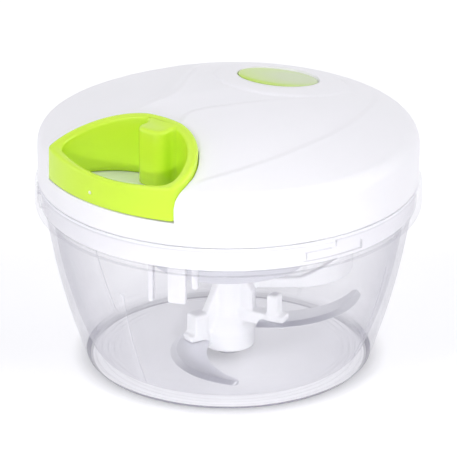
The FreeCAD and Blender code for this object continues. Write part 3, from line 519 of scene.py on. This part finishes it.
# Relief of the crown: lines in plan, from the handle to the back
RIGHT_LINE = [(27.0, -50.0), (28.7, -46.9), (34.7, -34.3), (38.5, -21.4), (40.0, -10.7)]
RIGHT_LINE = spline(RIGHT_LINE + [(40.3, 4.1), (37.1, 20.9), (31.5, 35.5), (24.6, 47.8), (16.5, 56.0)], 8)
LEFT_RIDGE = [(-19.5, -27.0), (-17.4, -22.0), (-15.5, -9.8), (-19.5, 0.0)]
LEFT_RIDGE = spline(LEFT_RIDGE + [(-26.0, 11.5), (-35.5, 27.2), (-42.0, 38.0)], 8)
CHANNEL = [(1.5, -29.0), (0.4, -24.2), (-1.6, -18.0), (0.2, -12.5), (4.5, -6.0)]
CHANNEL = spline(CHANNEL + [(9.5, 3.0), (14.5, 12.0), (19.5, 20.5)], 8)
FOLD = spline([(1.5, 57.5), (5.2, 51.7), (11.5, 46.8), (18.5, 42.0), (20.5, 36.0)], 8)


def beside(line, x, y):
    """Distance to a line, positive on its left, and the share of the line's length passed."""
    ax, ay = line[:-1].T
    dx, dy = np.diff(line, axis=0).T
    px, py = x[:, None] - ax, y[:, None] - ay
    t = np.clip((px * dx + py * dy) / (dx**2 + dy**2), 0.0, 1.0)
    dist = np.sqrt((px - t * dx) ** 2 + (py - t * dy) ** 2)
    k = dist.argmin(1)
    rows = np.arange(len(x))
    cross = dx[k] * py[rows, k] - dy[k] * px[rows, k]
    return np.where(cross >= 0.0, 1.0, -1.0) * dist[rows, k], (k + t[rows, k]) / len(ax)


def relief(x, y):
    """Height above the plain crown, from windows on the distance to each line and on the share of it passed."""
    d, s = beside(RIGHT_LINE, x, y)
    h = -0.55 * window(d, -1.0, 1.5, 2.0, 17.0) * window(s, 0.0, 0.12, 0.9, 1.0)
    d, s = beside(LEFT_RIDGE, x, y)
    h += 0.6 * np.exp(-((d / 2.0) ** 2)) * window(s, 0.02, 0.2, 0.75, 1.0)
    front_fade = step(y + 0.4 * x, -34.0, -8.0)
    h -= 1.9 * window(d, 0.5, 7.0, 8.0, 27.0) * front_fade * (1.0 - step(s, 0.75, 1.0))
    d, s = beside(CHANNEL, x, y)
    h -= 0.7 * window(d, -1.1, 1.6, 3.0, 15.0) * window(s, 0.0, 0.12, 0.55, 1.0)
    out = np.hypot(x - PLATFORM[0], y - PLATFORM[1])
    raised = 1.0 - step(out, PLATFORM[2] - 1.4, PLATFORM[2] + 0.2)
    h += PLATFORM_RISE * raised * (1.0 - 0.4 * step(x, 10.0, 20.0))
    d, s = beside(FOLD, x, y)
    h -= 0.3 * np.exp(-((d / 1.3) ** 2)) * window(s, 0.0, 0.2, 0.8, 1.0)
    # smooth towards the edge, with a soft shoulder at the left
    edge = np.hypot(x, y)
    h *= 1.0 - step(edge, 57.0, 62.5)
    turn = np.arctan2(y, -x)
    h -= 1.3 * np.exp(-((turn / 0.62) ** 2)) * window(edge, 26.0, 56.0, 60.5, 63.3)
    seat = step(np.hypot(x - DISC[0], y - DISC[1]), DISC[2] + 0.1, DISC[2] + 0.3)
    return h * seat - 1.3 * (1.0 - seat)


def oval(angle, grow=0.0):
    """Outline of the handle's oval, narrower at the right and fuller at the back."""
    c, s = np.cos(angle), np.sin(angle)
    x = HANDLE_X + (HANDLE_HALF_W + grow) * c - 0.5 * (1.0 + c) * step(s, -0.7, 0.3)
    return x, HANDLE_CENTRE_Y + (HANDLE_HALF_L + grow) * s + 0.9 * step(s, 0.3, 1.0)


def recess_loop(grow, low):
    """Edge of the handle's recess on the outside of the lid as (run, angle).

    It starts at the right front corner and goes over the back to the left front corner, then along the front's
    lower edge.
    """
    ends = []
    for inside, outside in ((math.pi / 2.0, -1.2), (math.pi / 2.0, math.pi + 1.2)):
        for _ in range(40):
            middle = (inside + outside) / 2.0
            if math.hypot(*oval(middle, grow)) < LID_R - 0.001:
                inside = middle
            else:
                outside = middle
        ends.append(inside)
    x, y = oval(np.linspace(*ends, 130), grow)
    back = [(float(run_of_radius(math.hypot(a, b))), math.atan2(b, a)) for a, b in zip(x, y)]
    right, left = math.atan2(y[0], x[0]), math.atan2(y[-1], x[-1])
    low_run = WALL_START + (RING_Z - low)
    steps = [WALL_START + 0.5, *np.linspace(WALL_START + 1.5, low_run, 4)]
    count = 26
    loop = back + [(s, left) for s in steps]
    loop += [(low_run, left + (right - left) * k / count) for k in range(1, count)]
    return np.array(loop + [(s, right) for s in steps[::-1]])


def lid_point(run, angle):
    """Points of the shaped outside, and the plain outward normals."""
    r, z, nr, nz = lid_section(run)
    c, s = np.cos(angle), np.sin(angle)
    h = np.where(run > WALL_START, 0.0, relief(r * c, r * s))
    place = np.column_stack([r * c + h * nr * c, r * s + h * nr * s, z + h * nz])
    return place, np.column_stack([nr * c, nr * s, nz])


def lid_normal(run, angle):
    """Outward normals of the shaped outside, from points a little to each side."""
    u, v = run * np.cos(angle), run * np.sin(angle)
    e = 0.06
    sides = [(u + e, v), (u - e, v), (u, v + e), (u, v - e)]
    ends = [lid_point(np.hypot(a, b), np.arctan2(b, a))[0] for a, b in sides]
    return unit(np.cross(ends[0] - ends[1], ends[2] - ends[3]))


def within(loop, spots):
    """True for the spots inside a closed loop in plan."""
    inside = np.zeros(len(spots), bool)
    for (x0, y0), (x1, y1) in zip(loop, np.roll(loop, -1, axis=0)):
        if y0 != y1:
            crosses = (spots[:, 1] < y0) != (spots[:, 1] < y1)
            inside ^= crosses & (spots[:, 0] < x0 + (spots[:, 1] - y0) / (y1 - y0) * (x1 - x0))
    return inside


def distance_to(loop, spots):
    """Distance of the spots to a closed loop in plan."""
    near = np.full(len(spots), np.inf)
    for start, end in zip(loop, np.roll(loop, -1, axis=0)):
        d = end - start
        t = np.clip(((spots - start) @ d) / max(float(d @ d), 1e-9), 0.0, 1.0)
        near = np.minimum(near, np.hypot(*(spots - start - t[:, None] * d).T))
    return near


def lid_mesh_plan(poly, total, rim_count):
    """Flat triangles of the lid's outside round its recess, at (run, angle) drawn as if the lid were unrolled."""
    points = []
    edges = []

    def add_ring(ring):
        first = len(points)
        points.extend(ring)
        edges.extend((first + i, first + (i + 1) % len(ring)) for i in range(len(ring)))

    add_ring([tuple(p) for p in poly])
    add_ring(circle(total, rim_count))
    seat_count = 110
    for widen in (0.1, 0.3, 0.6):
        ring = []
        for x, y in circle(DISC[2] + widen, seat_count):
            x, y = DISC[0] + x, DISC[1] + y
            run = float(run_of_radius(math.hypot(x, y)))
            turn = math.atan2(y, x)
            ring.append((run * math.cos(turn), run * math.sin(turn)))
        add_ring(ring)
    # rings of points, closer together round the edge, without those in the recess or too near an edge
    runs = [*np.arange(1.2, CROWN_RUN - 0.6, 0.95), *np.linspace(CROWN_RUN, WALL_START, 7)]
    runs += list(np.arange(WALL_START + 1.6, total - 0.8, 1.9))
    grid = []
    for k, run in enumerate(runs):
        grid += circle(run, max(6, int(2.0 * math.pi * min(run, LID_R))), 0.5 * (k % 2))
    grid = np.array(grid)
    # the disc lies a little further out in the plan than on the lid
    seat = np.hypot(grid[:, 0] - DISC[0], grid[:, 1] - DISC[1] * 1.0009)
    clear_of_seat = abs(seat - DISC[2] - 0.35) > 0.7
    grid = grid[~within(poly, grid) & (distance_to(poly, grid) > 0.4) & clear_of_seat]
    spots = [Vector(p) for p in np.vstack([points, grid])]
    out_points, _, out_faces, _, _, _ = delaunay_2d_cdt(spots, edges, [], 0, 1e-6)
    plan = np.array([tuple(p) for p in out_points])
    triangles = np.array([list(f) for f in out_faces])
    return plan, triangles[~within(poly, plan[triangles].mean(1))]


def make_lid():
    """Lid cover with the handle's recess, raised from the flat plan."""
    gap, round_r = 0.2, 0.4
    low = HANDLE_LOW_Z - gap
    loop = recess_loop(gap + round_r, low - round_r)
    inner = recess_loop(gap, low)
    poly = np.array([(s * math.cos(a), s * math.sin(a)) for s, a in loop])
    rim_count = 240
    plan, triangles = lid_mesh_plan(poly, WALL_START + WALL_RUN - 0.5, rim_count)
    run = np.hypot(plan[:, 0], plan[:, 1])
    angle = np.arctan2(plan[:, 1], plan[:, 0])
    place, plain = lid_point(run, angle)
    shaded = lid_normal(run, angle)
    points = [tuple(p) for p in place]
    normals = [shaded]
    faces = [tuple(int(v) for v in t) for t in triangles]

    # rounded lip of the recess, from the outer loop to the wall of the recess
    outer_place, outer_normal = lid_point(*loop.T)
    toward = lid_point(*inner.T)[0] - outer_place
    toward = unit(toward - (toward * outer_normal).sum(1)[:, None] * outer_normal)
    edge_normal = lid_normal(*loop.T)
    base = len(points)
    lip_rows = 5
    for a in np.linspace(0.0, math.pi / 2.0, lip_rows):
        c, s = math.cos(a), math.sin(a)
        normals.append(edge_normal * c + toward * s)
        lip = outer_place + toward * round_r * s - outer_normal * round_r * (1.0 - c)
        points += [tuple(p) for p in lip]
    faces += grid_faces(lip_rows, len(loop), closed_columns=True, start=base)

    # walls and floor of the recess
    back_count = int((loop[:, 0] < WALL_START - 1e-6).sum())
    top, front = lip[:back_count], lip[back_count:]
    bottom = at_height(top[:, :2], low)
    wall = len(points)
    shares = (0.0, 0.12, 0.5, 0.9, 1.0)
    for share in shares:
        points += [tuple(p) for p in top * (1.0 - share) + bottom * share]
    faces += grid_faces(len(shares), back_count, start=wall)
    floor = len(points)
    points += [tuple(p) for p in bottom] + [(p[0], p[1], low) for p in front if p[2] <= low + 0.6]
    faces.append(tuple(range(len(points) - 1, floor - 1, -1)))

    # inner face at the wall's thickness, and the lower edge
    under = len(points)
    normals.append(np.zeros((under - sum(len(n) for n in normals), 3)))
    normals.append(-shaded)
    points += [tuple(p) for p in place - LID_WALL * plain]
    faces += [tuple(under + int(v) for v in t[::-1]) for t in triangles]
    low_z = LID_EDGE_Z + 0.5
    rows = [(LID_R, low_z), (LID_R - 0.15, LID_EDGE_Z + 0.12), (LID_R - 0.5, LID_EDGE_Z)]
    rows += [(LID_R - 1.8, LID_EDGE_Z), (LID_R - 2.1, LID_EDGE_Z + 0.15), (LID_R - LID_WALL, low_z)]
    edge = len(points)
    for r, z in rows:
        points += [(x, y, z) for x, y in circle(r, rim_count)]
    faces += grid_faces(len(rows), rim_count, closed_columns=True, start=edge)
    normals.append(np.zeros((len(points) - edge, 3)))
    obj = make_piece("lid_cover", points, faces, "lid", [white_lid], normals=np.vstack(normals))
    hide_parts("lid_shell")
    return obj


# ---------------------------------------------------------------- green disc on the lid


def make_disc():
    """Round disc, seated a little into the platform."""
    x0, y0, r, t = DISC
    centre = np.array([x0, y0, CROWN_Z + math.sqrt(CROWN_R**2 - x0 * x0 - y0 * y0)])
    # square to the crown, and then tilted a little outward
    normal = unit(centre - (0.0, 0.0, CROWN_Z))
    outward = unit(np.array([x0, y0, 0.0]))
    normal = unit(normal + outward * math.tan(math.radians(DISC_TILT_DEG)))
    side = unit(np.cross(normal, [0.0, 1.0, 0.0]))
    ahead = np.cross(normal, side)
    seat = centre + normal * (PLATFORM_RISE - 0.1 - t)
    rows = [(0.01, t), (3.0, t - 0.01), (6.0, t - 0.03), (9.0, t - 0.08), (11.4, t - 0.15), (12.4, t - 0.22)]
    rows += [(12.9, t - 0.3), (13.2, t - 0.4), (13.4, t - 0.6), (r, t - 0.9)]
    rows += [(r, 0.3), (r - 0.3, 0.0), (0.01, 0.0)]
    count = 96
    points = [seat + side * x + ahead * y + normal * z for radius, z in rows for x, y in circle(radius, count)]
    faces = grid_faces(len(rows), count, closed_columns=True)
    faces += [tuple(range(count))[::-1], tuple(range(len(points) - count, len(points)))]
    obj = make_piece("disc_cap", points, faces, "lid", [green_disc_sheen])
    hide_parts("top_disc")
    return obj


# ---------------------------------------------------------------- handle


OUTLINE_COUNT = 1440


def star_loop(outline, centre, angles):
    """Points of a closed outline in the given directions from a centre."""
    x, y = (outline - centre).T
    out = []
    for a in angles:
        c, s = math.cos(a), math.sin(a)
        u0, v0 = x * c + y * s, y * c - x * s
        u1, v1 = np.roll(u0, -1), np.roll(v0, -1)
        hit = (v0 <= 0) != (v1 <= 0)
        reach = (u0[hit] + v0[hit] / (v0[hit] - v1[hit]) * (u1[hit] - u0[hit])).max()
        out.append((centre[0] + c * reach, centre[1] + s * reach))
    return np.array(out)


def rounded(outline, radius):
    """Outline with its corners softened by sliding averages of about the radius."""
    p = np.vstack([outline, outline[:1]])
    run = np.concatenate([[0.0], np.cumsum(np.hypot(*np.diff(p, axis=0).T))])
    s = np.linspace(0.0, run[-1], OUTLINE_COUNT, endpoint=False)
    half = max(1, int(radius / (run[-1] / OUTLINE_COUNT) * 0.75))
    k = np.ones(2 * half + 1) / (2 * half + 1)
    even = [np.interp(s, run, values) for values in p.T]
    return np.column_stack([np.convolve(np.concatenate([v[-half:], v, v[:half]]), k, "valid") for v in even])


def oval_in_disc(grow, disc_r):
    """Outline of the handle's oval cut by the lid's round wall."""
    # points outside the disc slide in to it along the line from the oval's middle front
    px, py = HANDLE_X, HANDLE_CENTRE_Y + 8.0
    out = []
    for x, y in zip(*oval(np.linspace(0.0, 2.0 * math.pi, OUTLINE_COUNT, endpoint=False), grow)):
        if math.hypot(x, y) <= disc_r:
            out.append((x, y))
            continue
        dx, dy = x - px, y - py
        a = dx * dx + dy * dy
        b = 2.0 * (px * dx + py * dy)
        c = px * px + py * py - disc_r * disc_r
        t = (-b + math.sqrt(b * b - 4.0 * a * c)) / (2.0 * a)
        out.append((px + dx * t, py + dy * t))
    return np.array(out)


def rim_height(y):
    """Height of the handle's rim, an arc through its front, middle and back that curves upward."""
    middle_y, middle_z, r = circle_through(*RIM_POINTS)
    return middle_z - np.sqrt(r * r - (np.asarray(y) - middle_y) ** 2)


def cord_block(outer, inner, start):
    """Block that holds the cord: rounded front corners, flared where it meets the back wall."""
    half, depth, corner, flare, soft = 5.3, 11.0, 3.2, 2.2, 1.5
    low, high = HANDLE_LOW_Z, 92.3
    front = HANDLE_BACK_Y - depth
    back = HANDLE_BACK_Y - 1.0
    wall = HANDLE_BACK_Y - HANDLE_WIDTH
    line = [(half + flare + 0.6, back), (half + flare, wall)]
    for t in np.linspace(0.15, math.pi / 2, 6):
        line.append((half + flare - flare * math.sin(t), wall - flare + flare * math.cos(t)))
    line.append((half, front + corner + 1.5))
    for t in np.linspace(0.0, math.pi / 2, 9):
        line.append((half - corner + corner * math.cos(t), front + corner - corner * math.sin(t)))
    line = np.array(line + [(-x, y) for x, y in line[::-1]])
    levels = [(low + 0.05, 0.4), (low + 0.45, 0.0), (CORD_Z, 0.0), (84.0, 0.0), (high - soft, 0.0)]
    for k in range(1, 6):
        a = math.pi / 2.0 * k / 5
        levels.append((high - soft + soft * math.sin(a), 1.3 * (1 - math.cos(a))))
    inward = unit(np.gradient(line, axis=0))[:, ::-1] * (1.0, -1.0)
    # the block's back stays inside the ring, and its top runs in just below the rim
    behind = [loop[loop[:, 1] > HANDLE_BACK_Y - 9.0] for loop in (outer, inner)]
    rear = [loop[np.argsort(loop[:, 0])] for loop in behind]
    points = []
    for z, inset in levels:
        ring = line + inward * inset
        edge_y, inner_y = (np.interp(ring[:, 0], loop[:, 0], loop[:, 1]) for loop in rear)
        ring[:, 1] = np.minimum(ring[:, 1], edge_y * 0.5 + inner_y * 0.5)
        rise = rim_height(np.minimum(edge_y, HANDLE_BACK_Y)) - 0.35 - high
        rise *= step(ring[:, 1], wall - 3.0, back) * step(z, 88.0, high)
        points += [tuple(p) for p in at_height(ring, z + rise)]
    n = len(line)
    faces = [f[::-1] for f in grid_faces(len(levels), n, closed_columns=True, start=start)]
    last = start + (len(levels) - 1) * n
    for i in range(n // 2 - 1):
        faces.append((last + i, last + n - 1 - i, last + n - 2 - i, last + i + 1))
        faces.append((start + i, start + i + 1, start + n - 2 - i, start + n - 1 - i))
    return points, faces


def gate_mark_dot(start):
    """Small raised dot on the handle's front face."""
    turn = math.radians(GATE_MARK[0])
    out = np.array([math.sin(turn), -math.cos(turn), 0.0])
    side = np.array([math.cos(turn), math.sin(turn), 0.0])
    rows = ((0.62, -0.05), (0.55, 0.12), (0.4, 0.24), (0.2, 0.3), (0.02, 0.31))
    count = 16
    points = []
    for r, rise in rows:
        base = out * (LID_R + rise) + (0.0, 0.0, GATE_MARK[1])
        points += [tuple(base + side * x + (0.0, 0.0, y)) for x, y in circle(r, count)]
    faces = grid_faces(len(rows), count, closed_columns=True, start=start)
    end = start + len(points)
    return points, faces + [tuple(range(start, start + count))[::-1], tuple(range(end - count, end))]


def make_handle():
    """Handle's ring with its cord block and gate mark, the mark's pale colour a painted highlight."""
    centre = np.array([HANDLE_X, HANDLE_CENTRE_Y + 4.0])
    count = 480
    angles = np.linspace(0.0, 2.0 * math.pi, count, endpoint=False)
    outer = star_loop(rounded(oval_in_disc(0.0, LID_R), 1.3), centre, angles)
    inner = star_loop(rounded(oval_in_disc(-HANDLE_WIDTH, LID_R - 3.0), 6.0), centre, angles)
    across = unit(inner - outer)
    top = rim_height(np.clip(outer[:, 1], -LID_R, HANDLE_BACK_Y))
    inner_top = top - 0.25
    low = HANDLE_LOW_Z
    start = low + 0.5
    round_out, round_in, turns = 1.25, 1.1, 6
    rows = [(outer + across * 0.5, low), (outer + across * 0.12, low + 0.12)]
    rows += [(outer, start + (top - round_out - start) * share) for share in (0.0, 0.15, 0.4, 0.65, 0.88, 1.0)]
    for k in range(1, turns + 1):
        a = math.pi / 2.0 * k / turns
        rows.append((outer + across * round_out * (1 - math.cos(a)), top - round_out * (1 - math.sin(a))))
    rows.append(((outer + inner) / 2.0, top))
    for k in range(turns):
        a = math.pi / 2.0 * (1 - k / turns)
        rows.append((inner - across * round_in * (1 - math.cos(a)), inner_top - round_in * (1 - math.sin(a))))
    rows += [(inner, start + (inner_top - round_in - start) * share) for share in (1.0, 0.85, 0.6, 0.35, 0.1)]
    rows += [(inner - across * 0.12, low + 0.12), (inner - across * 0.5, low)]
    points = [tuple(p) for row in rows for p in at_height(*row)]
    faces = grid_faces(len(rows), count, closed_rows=True, closed_columns=True)
    block_points, block_faces = cord_block(outer, inner, len(points))
    points += block_points
    faces += block_faces
    mark_points, mark_faces = gate_mark_dot(len(points))
    slots = [0] * len(faces) + [1] * len(mark_faces)
    obj = make_piece("handle_ring", points + mark_points, faces + mark_faces, "handle", [green, gate_mark_highlight], slots)
    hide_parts("pull_handle")
    return obj


# ---------------------------------------------------------------- blades and hub


# For each blade: its turn in degrees, the height under its arm, three points of its outer edge from root to tip,
# and the middle and end of its inner edge
BLADES = {
    "low_blade": (254.8, 5.6, ((13.6, -8.0), (28.9, 12.6), (23.1, 35.2)), ((19.8, 19.3), (10.5, 4.5))),
    "middle_blade": (14.8, 13.0, ((13.4, -6.8), (33.5, 12.6), (33.9, 33.3)), ((26.8, 17.6), (12.5, 5.0))),
    "top_blade": (134.8, 20.4, ((13.4, -6.8), (34.4, 13.4), (35.0, 34.2)), ((27.4, 18.2), (12.5, 5.0))),
}


def make_blade(node):
    """Curved blade with a ground edge on its outer side and a rounded tip."""
    degrees, arm_low, (start, middle, tip), (inner_middle, inner_end) = BLADES[node]
    low = arm_low + 0.9
    high = low + 1.2
    tip_in = (tip[0] - 3.4, tip[1] - 0.6)
    tip_middle = (tip[0] - 1.6, tip[1] + 1.43)
    n = 60
    out_line = arc_points(start, middle, tip, n) + [tip]
    in_line = (arc_points(tip_in, inner_middle, inner_end, n) + [inner_end])[::-1]
    # the last stations close the rounded tip
    cap = 10
    tips = arc_points(tip, tip_middle, tip_in, 2 * cap) + [tip_in]
    out_line = np.array(out_line + tips[1:cap])
    in_line = np.array(in_line + tips[::-1][1:cap])
    count = len(out_line)
    width = np.linalg.norm(in_line - out_line, axis=1)[:, None]
    across = (in_line - out_line) / width
    bevel = np.minimum(2.3, width * 0.45)
    # from the cutting edge up the grind, and round the body to the back edge
    thin = 0.12
    ring = [
        (out_line, low),
        (out_line, low + thin),
        (out_line + across * bevel * 0.5, low + thin + (high - low - thin) * 0.5),
        (out_line + across * bevel * 0.96, high - 0.03),
        (out_line + across * np.minimum(bevel * 1.06, width * 0.5), high),
        (out_line + across * width * 0.62, high),
        (out_line + across * np.maximum(width - 0.25, width * 0.55), high),
        (out_line + across * np.maximum(width - 0.07, width * 0.6), high - 0.07),
        (out_line + across * width, high - 0.25),
        (out_line + across * width, low + 0.2),
        (out_line + across * np.maximum(width - 0.2, width * 0.5), low),
        (out_line + across * width * 0.4, low),
    ]
    x, y, z = np.vstack([at_height(*row) for row in ring]).T
    size = len(ring)
    faces = grid_faces(size, count, closed_rows=True)
    ground_rows = (1, 2)
    slots = [1 if i // (count - 1) in ground_rows else 0 for i in range(len(faces))] + [0, 0]
    faces.append(tuple(k * count for k in range(size)))
    faces.append(tuple((k + 1) * count - 1 for k in range(size))[::-1])
    c, s = math.cos(math.radians(degrees)), math.sin(math.radians(degrees))
    points = np.column_stack([c * x - s * y, s * x + c * y, z])
    obj = make_piece(node + "_steel", points, faces, "blades", [blade_steel, ground_steel], slots, sharp=14.0)
    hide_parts(node)
    return obj


def soft_copy(node, name, body, material, voxel, rounds, keep):
    """Moulded piece with softly rounded edges, grown from a copy of a node's mesh."""
    mesh = nodes[node].data.copy()
    mesh.name = name
    mesh.materials.clear()
    mesh.materials.append(material)
    obj = add_object(name, mesh)
    remesh = obj.modifiers.new("remesh", "REMESH")
    remesh.mode = "VOXEL"
    remesh.voxel_size = voxel
    remesh.use_smooth_shade = True
    smooth = obj.modifiers.new("smooth", "SMOOTH")
    smooth.factor = 0.5
    smooth.iterations = rounds
    fewer = obj.modifiers.new("fewer", "DECIMATE")
    fewer.ratio = keep
    graph = bpy.context.evaluated_depsgraph_get()
    made = bpy.data.meshes.new_from_object(obj.evaluated_get(graph))
    made.name = name + "_mesh"
    obj.modifiers.clear()
    obj.data = made
    made.polygons.foreach_set("use_smooth", [True] * len(made.polygons))
    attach(obj, body)
    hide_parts(node)
    return obj


# ---------------------------------------------------------------- pull cord


def make_cord():
    """Cord from the knot in the handle to the wound drum, standing still; on the real chopper its straight stretch
    draws out with the handle.
    """
    run_r = WOUND_R + CORD_R + 0.1
    bend = np.array([0.0, EYELET_Y])
    lean = math.acos(run_r / -EYELET_Y)
    touch = np.array([run_r * math.sin(lean), -run_r * math.cos(lean)])
    start = np.array([0.0, HANDLE_BACK_Y - 5.5 + 2.7 * 0.8 + 0.02])
    bend_reach = 3.4
    a, b = (bend + unit(end - bend) * bend_reach for end in (start, touch))
    path = [start + (a - start) * t for t in np.linspace(0.0, 1.0, 60)]
    path += [(1 - t) ** 2 * a + 2 * t * (1 - t) * bend + t * t * b for t in np.linspace(0.08, 1.0, 12)]
    path += [b + (touch - b) * t for t in (0.5, 1.0)]
    ahead = unit(np.gradient(np.array(path), axis=0))
    count = 20
    points = []
    for (x, y), (along_x, along_y) in zip(path, ahead):
        points += [(x + along_y * out, y - along_x * out, CORD_Z + up) for out, up in circle(CORD_R, count)]
    faces = grid_faces(len(path), count, closed_columns=True)
    faces.append(tuple(range(count)))
    faces.append(tuple(range(len(points) - 1, len(points) - count - 1, -1)))
    obj = make_piece("cord_line", points, faces, None, [cord_material])
    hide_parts("pull_cord")
    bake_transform(obj)
    return obj


make_bowl()
make_lid()
make_disc()
make_handle()
for node in BLADES:
    make_blade(node)
hub = soft_copy("blade_hub", "hub_body", "blades", white_inner, voxel=0.00038, rounds=8, keep=0.35)
make_cord()

CARRIED = {
    "pivot_pin": dark_steel,
    "lid_seal": seal,
    "lid_base": white_lid,
    # painted shade on the drive housing
    "drive_housing": housing_painted_shade,
    "cord_eyelet": inner_plastic,
    "spring_case": inner_plastic,
    "recoil_spring": spring_steel,
    "axle_pin": dark_steel,
    "base_screws": dark_steel,
    "shaft_bush": bronze,
    "thrust_washer": bronze,
    "cord_spool": inner_plastic,
    "cord_winding": cord_material,
    "spool_washer": bronze,
    "drive_shaft": inner_plastic,
    "pawl_pins": dark_steel,
    "left_pawl": inner_plastic,
    "right_pawl": inner_plastic,
    "cord_knot": cord_material,
    "hub_bush": bronze,
}
for node, material in CARRIED.items():
    mesh = nodes[node].data
    mesh.materials.clear()
    mesh.materials.append(material)

# ---------------------------------------------------------------- stage


AZIMUTH = math.radians(41.0)
ELEVATION = math.radians(22.8)
CAMERA_TARGET = Vector((0.0, 0.0, 0.0427))
CAMERA_DISTANCE = 1.4
LAMP_TARGET = Vector((0.0, 0.0, 0.05))
FLOOR_GLOW = 0.34


def by_ray(tree, hidden, seen):
    """One shader for the rays from the camera, off gloss or through glass, and another for the rest."""
    path = add_node(tree, "LightPath").outputs
    ray = path["Is Camera Ray"]
    for name in ("Is Glossy Ray", "Is Transmission Ray"):
        ray = maths(tree, "MAXIMUM", ray, path[name])
    return add_node(tree, "MixShader", {0: ray, 1: hidden.outputs[0], 2: seen.outputs[0]}).outputs[0]


def make_floor():
    """Pale floor that reads as white and keeps the object's shadow."""
    material, tree, shader, place = new_material("floor_white")
    # soft contact shade outside the foot
    near = add_node(tree, "AmbientOcclusion", {"Distance": 0.006}).outputs["AO"]
    inside = ramp(tree, measure(tree, "LENGTH", place), 0.0458, 0.0463, 1.0, 0.0)
    shade = maths(tree, "MAXIMUM", ramp(tree, near, 0.0, 1.0, 0.50, 1.0), inside)
    pale = mix_colour(tree, noise(tree, place, 3.0, 2.0), (0.84, 0.84, 0.85), (0.86, 0.86, 0.87))
    shaded = mix_colour(tree, shade, (0.05, 0.05, 0.07), pale)
    join(tree, shader, {"Base Color": shaded, "Roughness": 0.6, "Specular IOR Level": 0.1})
    glow = add_node(tree, "Emission", {"Color": WHITE, "Strength": times(tree, shade, FLOOR_GLOW)})
    bright = add_node(tree, "AddShader", {0: shader.outputs[0], 1: glow.outputs[0]})
    join(tree, tree.get_output_node("ALL"), {0: by_ray(tree, shader, bright)})
    size = 6.0
    mesh = bpy.data.meshes.new("floor")
    mesh.from_pydata([(-size, -size, 0), (size, -size, 0), (size, size, 0), (-size, size, 0)], [], [(0, 1, 2, 3)])
    mesh.materials.append(material)
    obj = add_object("floor", mesh)
    obj.location.z = -0.0002


def make_world(ambient, colour):
    """Soft light for the object, and a white surround for the rays that see it."""
    world = bpy.data.worlds.new("studio")
    world.use_nodes = True
    tree = world.node_tree
    tree.nodes.clear()
    soft = add_node(tree, "Background", {"Color": colour + (1.0,), "Strength": ambient})
    white = add_node(tree, "Background", {"Color": WHITE, "Strength": 1.0})
    add_node(tree, "OutputWorld", {0: by_ray(tree, soft, white)})
    scene.world = world


def from_camera(side, ahead, up):
    """Point in the object's frame from metres to the camera's right, away from it and up."""
    c, s = math.cos(AZIMUTH), math.sin(AZIMUTH)
    return Vector((side * c - ahead * s, side * s + ahead * c, up))


def aim(name, data, place, direction):
    """Lamp or camera at a place, facing a direction."""
    obj = add_object(name, data)
    obj.location = place
    obj.rotation_mode = "QUATERNION"
    obj.rotation_quaternion = direction.to_track_quat("-Z", "Y")
    return obj


def add_light(name, place, size, power):
    lamp = bpy.data.lights.new(name, "AREA")
    lamp.shape = "RECTANGLE"
    lamp.size, lamp.size_y = size
    lamp.energy = power
    place = from_camera(*place)
    aim(name, lamp, place, LAMP_TARGET - place)


def add_spot(name, place, target, half_angle, power):
    """Narrow light that leaves no highlight."""
    lamp = bpy.data.lights.new(name, "SPOT")
    lamp.spot_size = math.radians(2.0 * half_angle)
    lamp.spot_blend = 0.6
    lamp.shadow_soft_size = 0.06
    lamp.energy = power
    place, target = from_camera(*place), from_camera(*target)
    aim(name, lamp, place, target - place).visible_glossy = False


def make_camera():
    data = bpy.data.cameras.new("camera")
    data.lens = 320.2
    data.sensor_width = 36.0
    data.clip_start = 0.05
    data.clip_end = 50.0
    level = math.cos(ELEVATION)
    back = Vector((math.sin(AZIMUTH) * level, -math.cos(AZIMUTH) * level, math.sin(ELEVATION)))
    scene.camera = aim("camera", data, CAMERA_TARGET + back * CAMERA_DISTANCE, -back)


scene.view_settings.view_transform = "Standard"
make_floor()
make_world(ambient=0.54, colour=(0.95, 0.945, 1.0))
add_light("key", (-2.9, -2.3, 3.5), (2.6, 2.6), 63.0)
add_light("fill", (3.1, -1.9, 3.2), (2.6, 2.2), 56.0)
add_light("front", (0.0, -3.5, 2.0), (2.6, 1.3), 3.0)
add_light("left", (-3.3, 0.2, 0.9), (1.6, 1.2), 11.0)
add_light("right", (3.3, 0.2, 0.9), (1.6, 1.2), 15.0)
for side in (-0.022, 0.026):
    add_spot("inside", (side, -1.25, 0.30), (side, 0.0, 0.023), half_angle=1.7, power=66.0)
make_camera()
scene.cycles.use_denoising = True
scene.cycles.transparent_max_bounces = 40
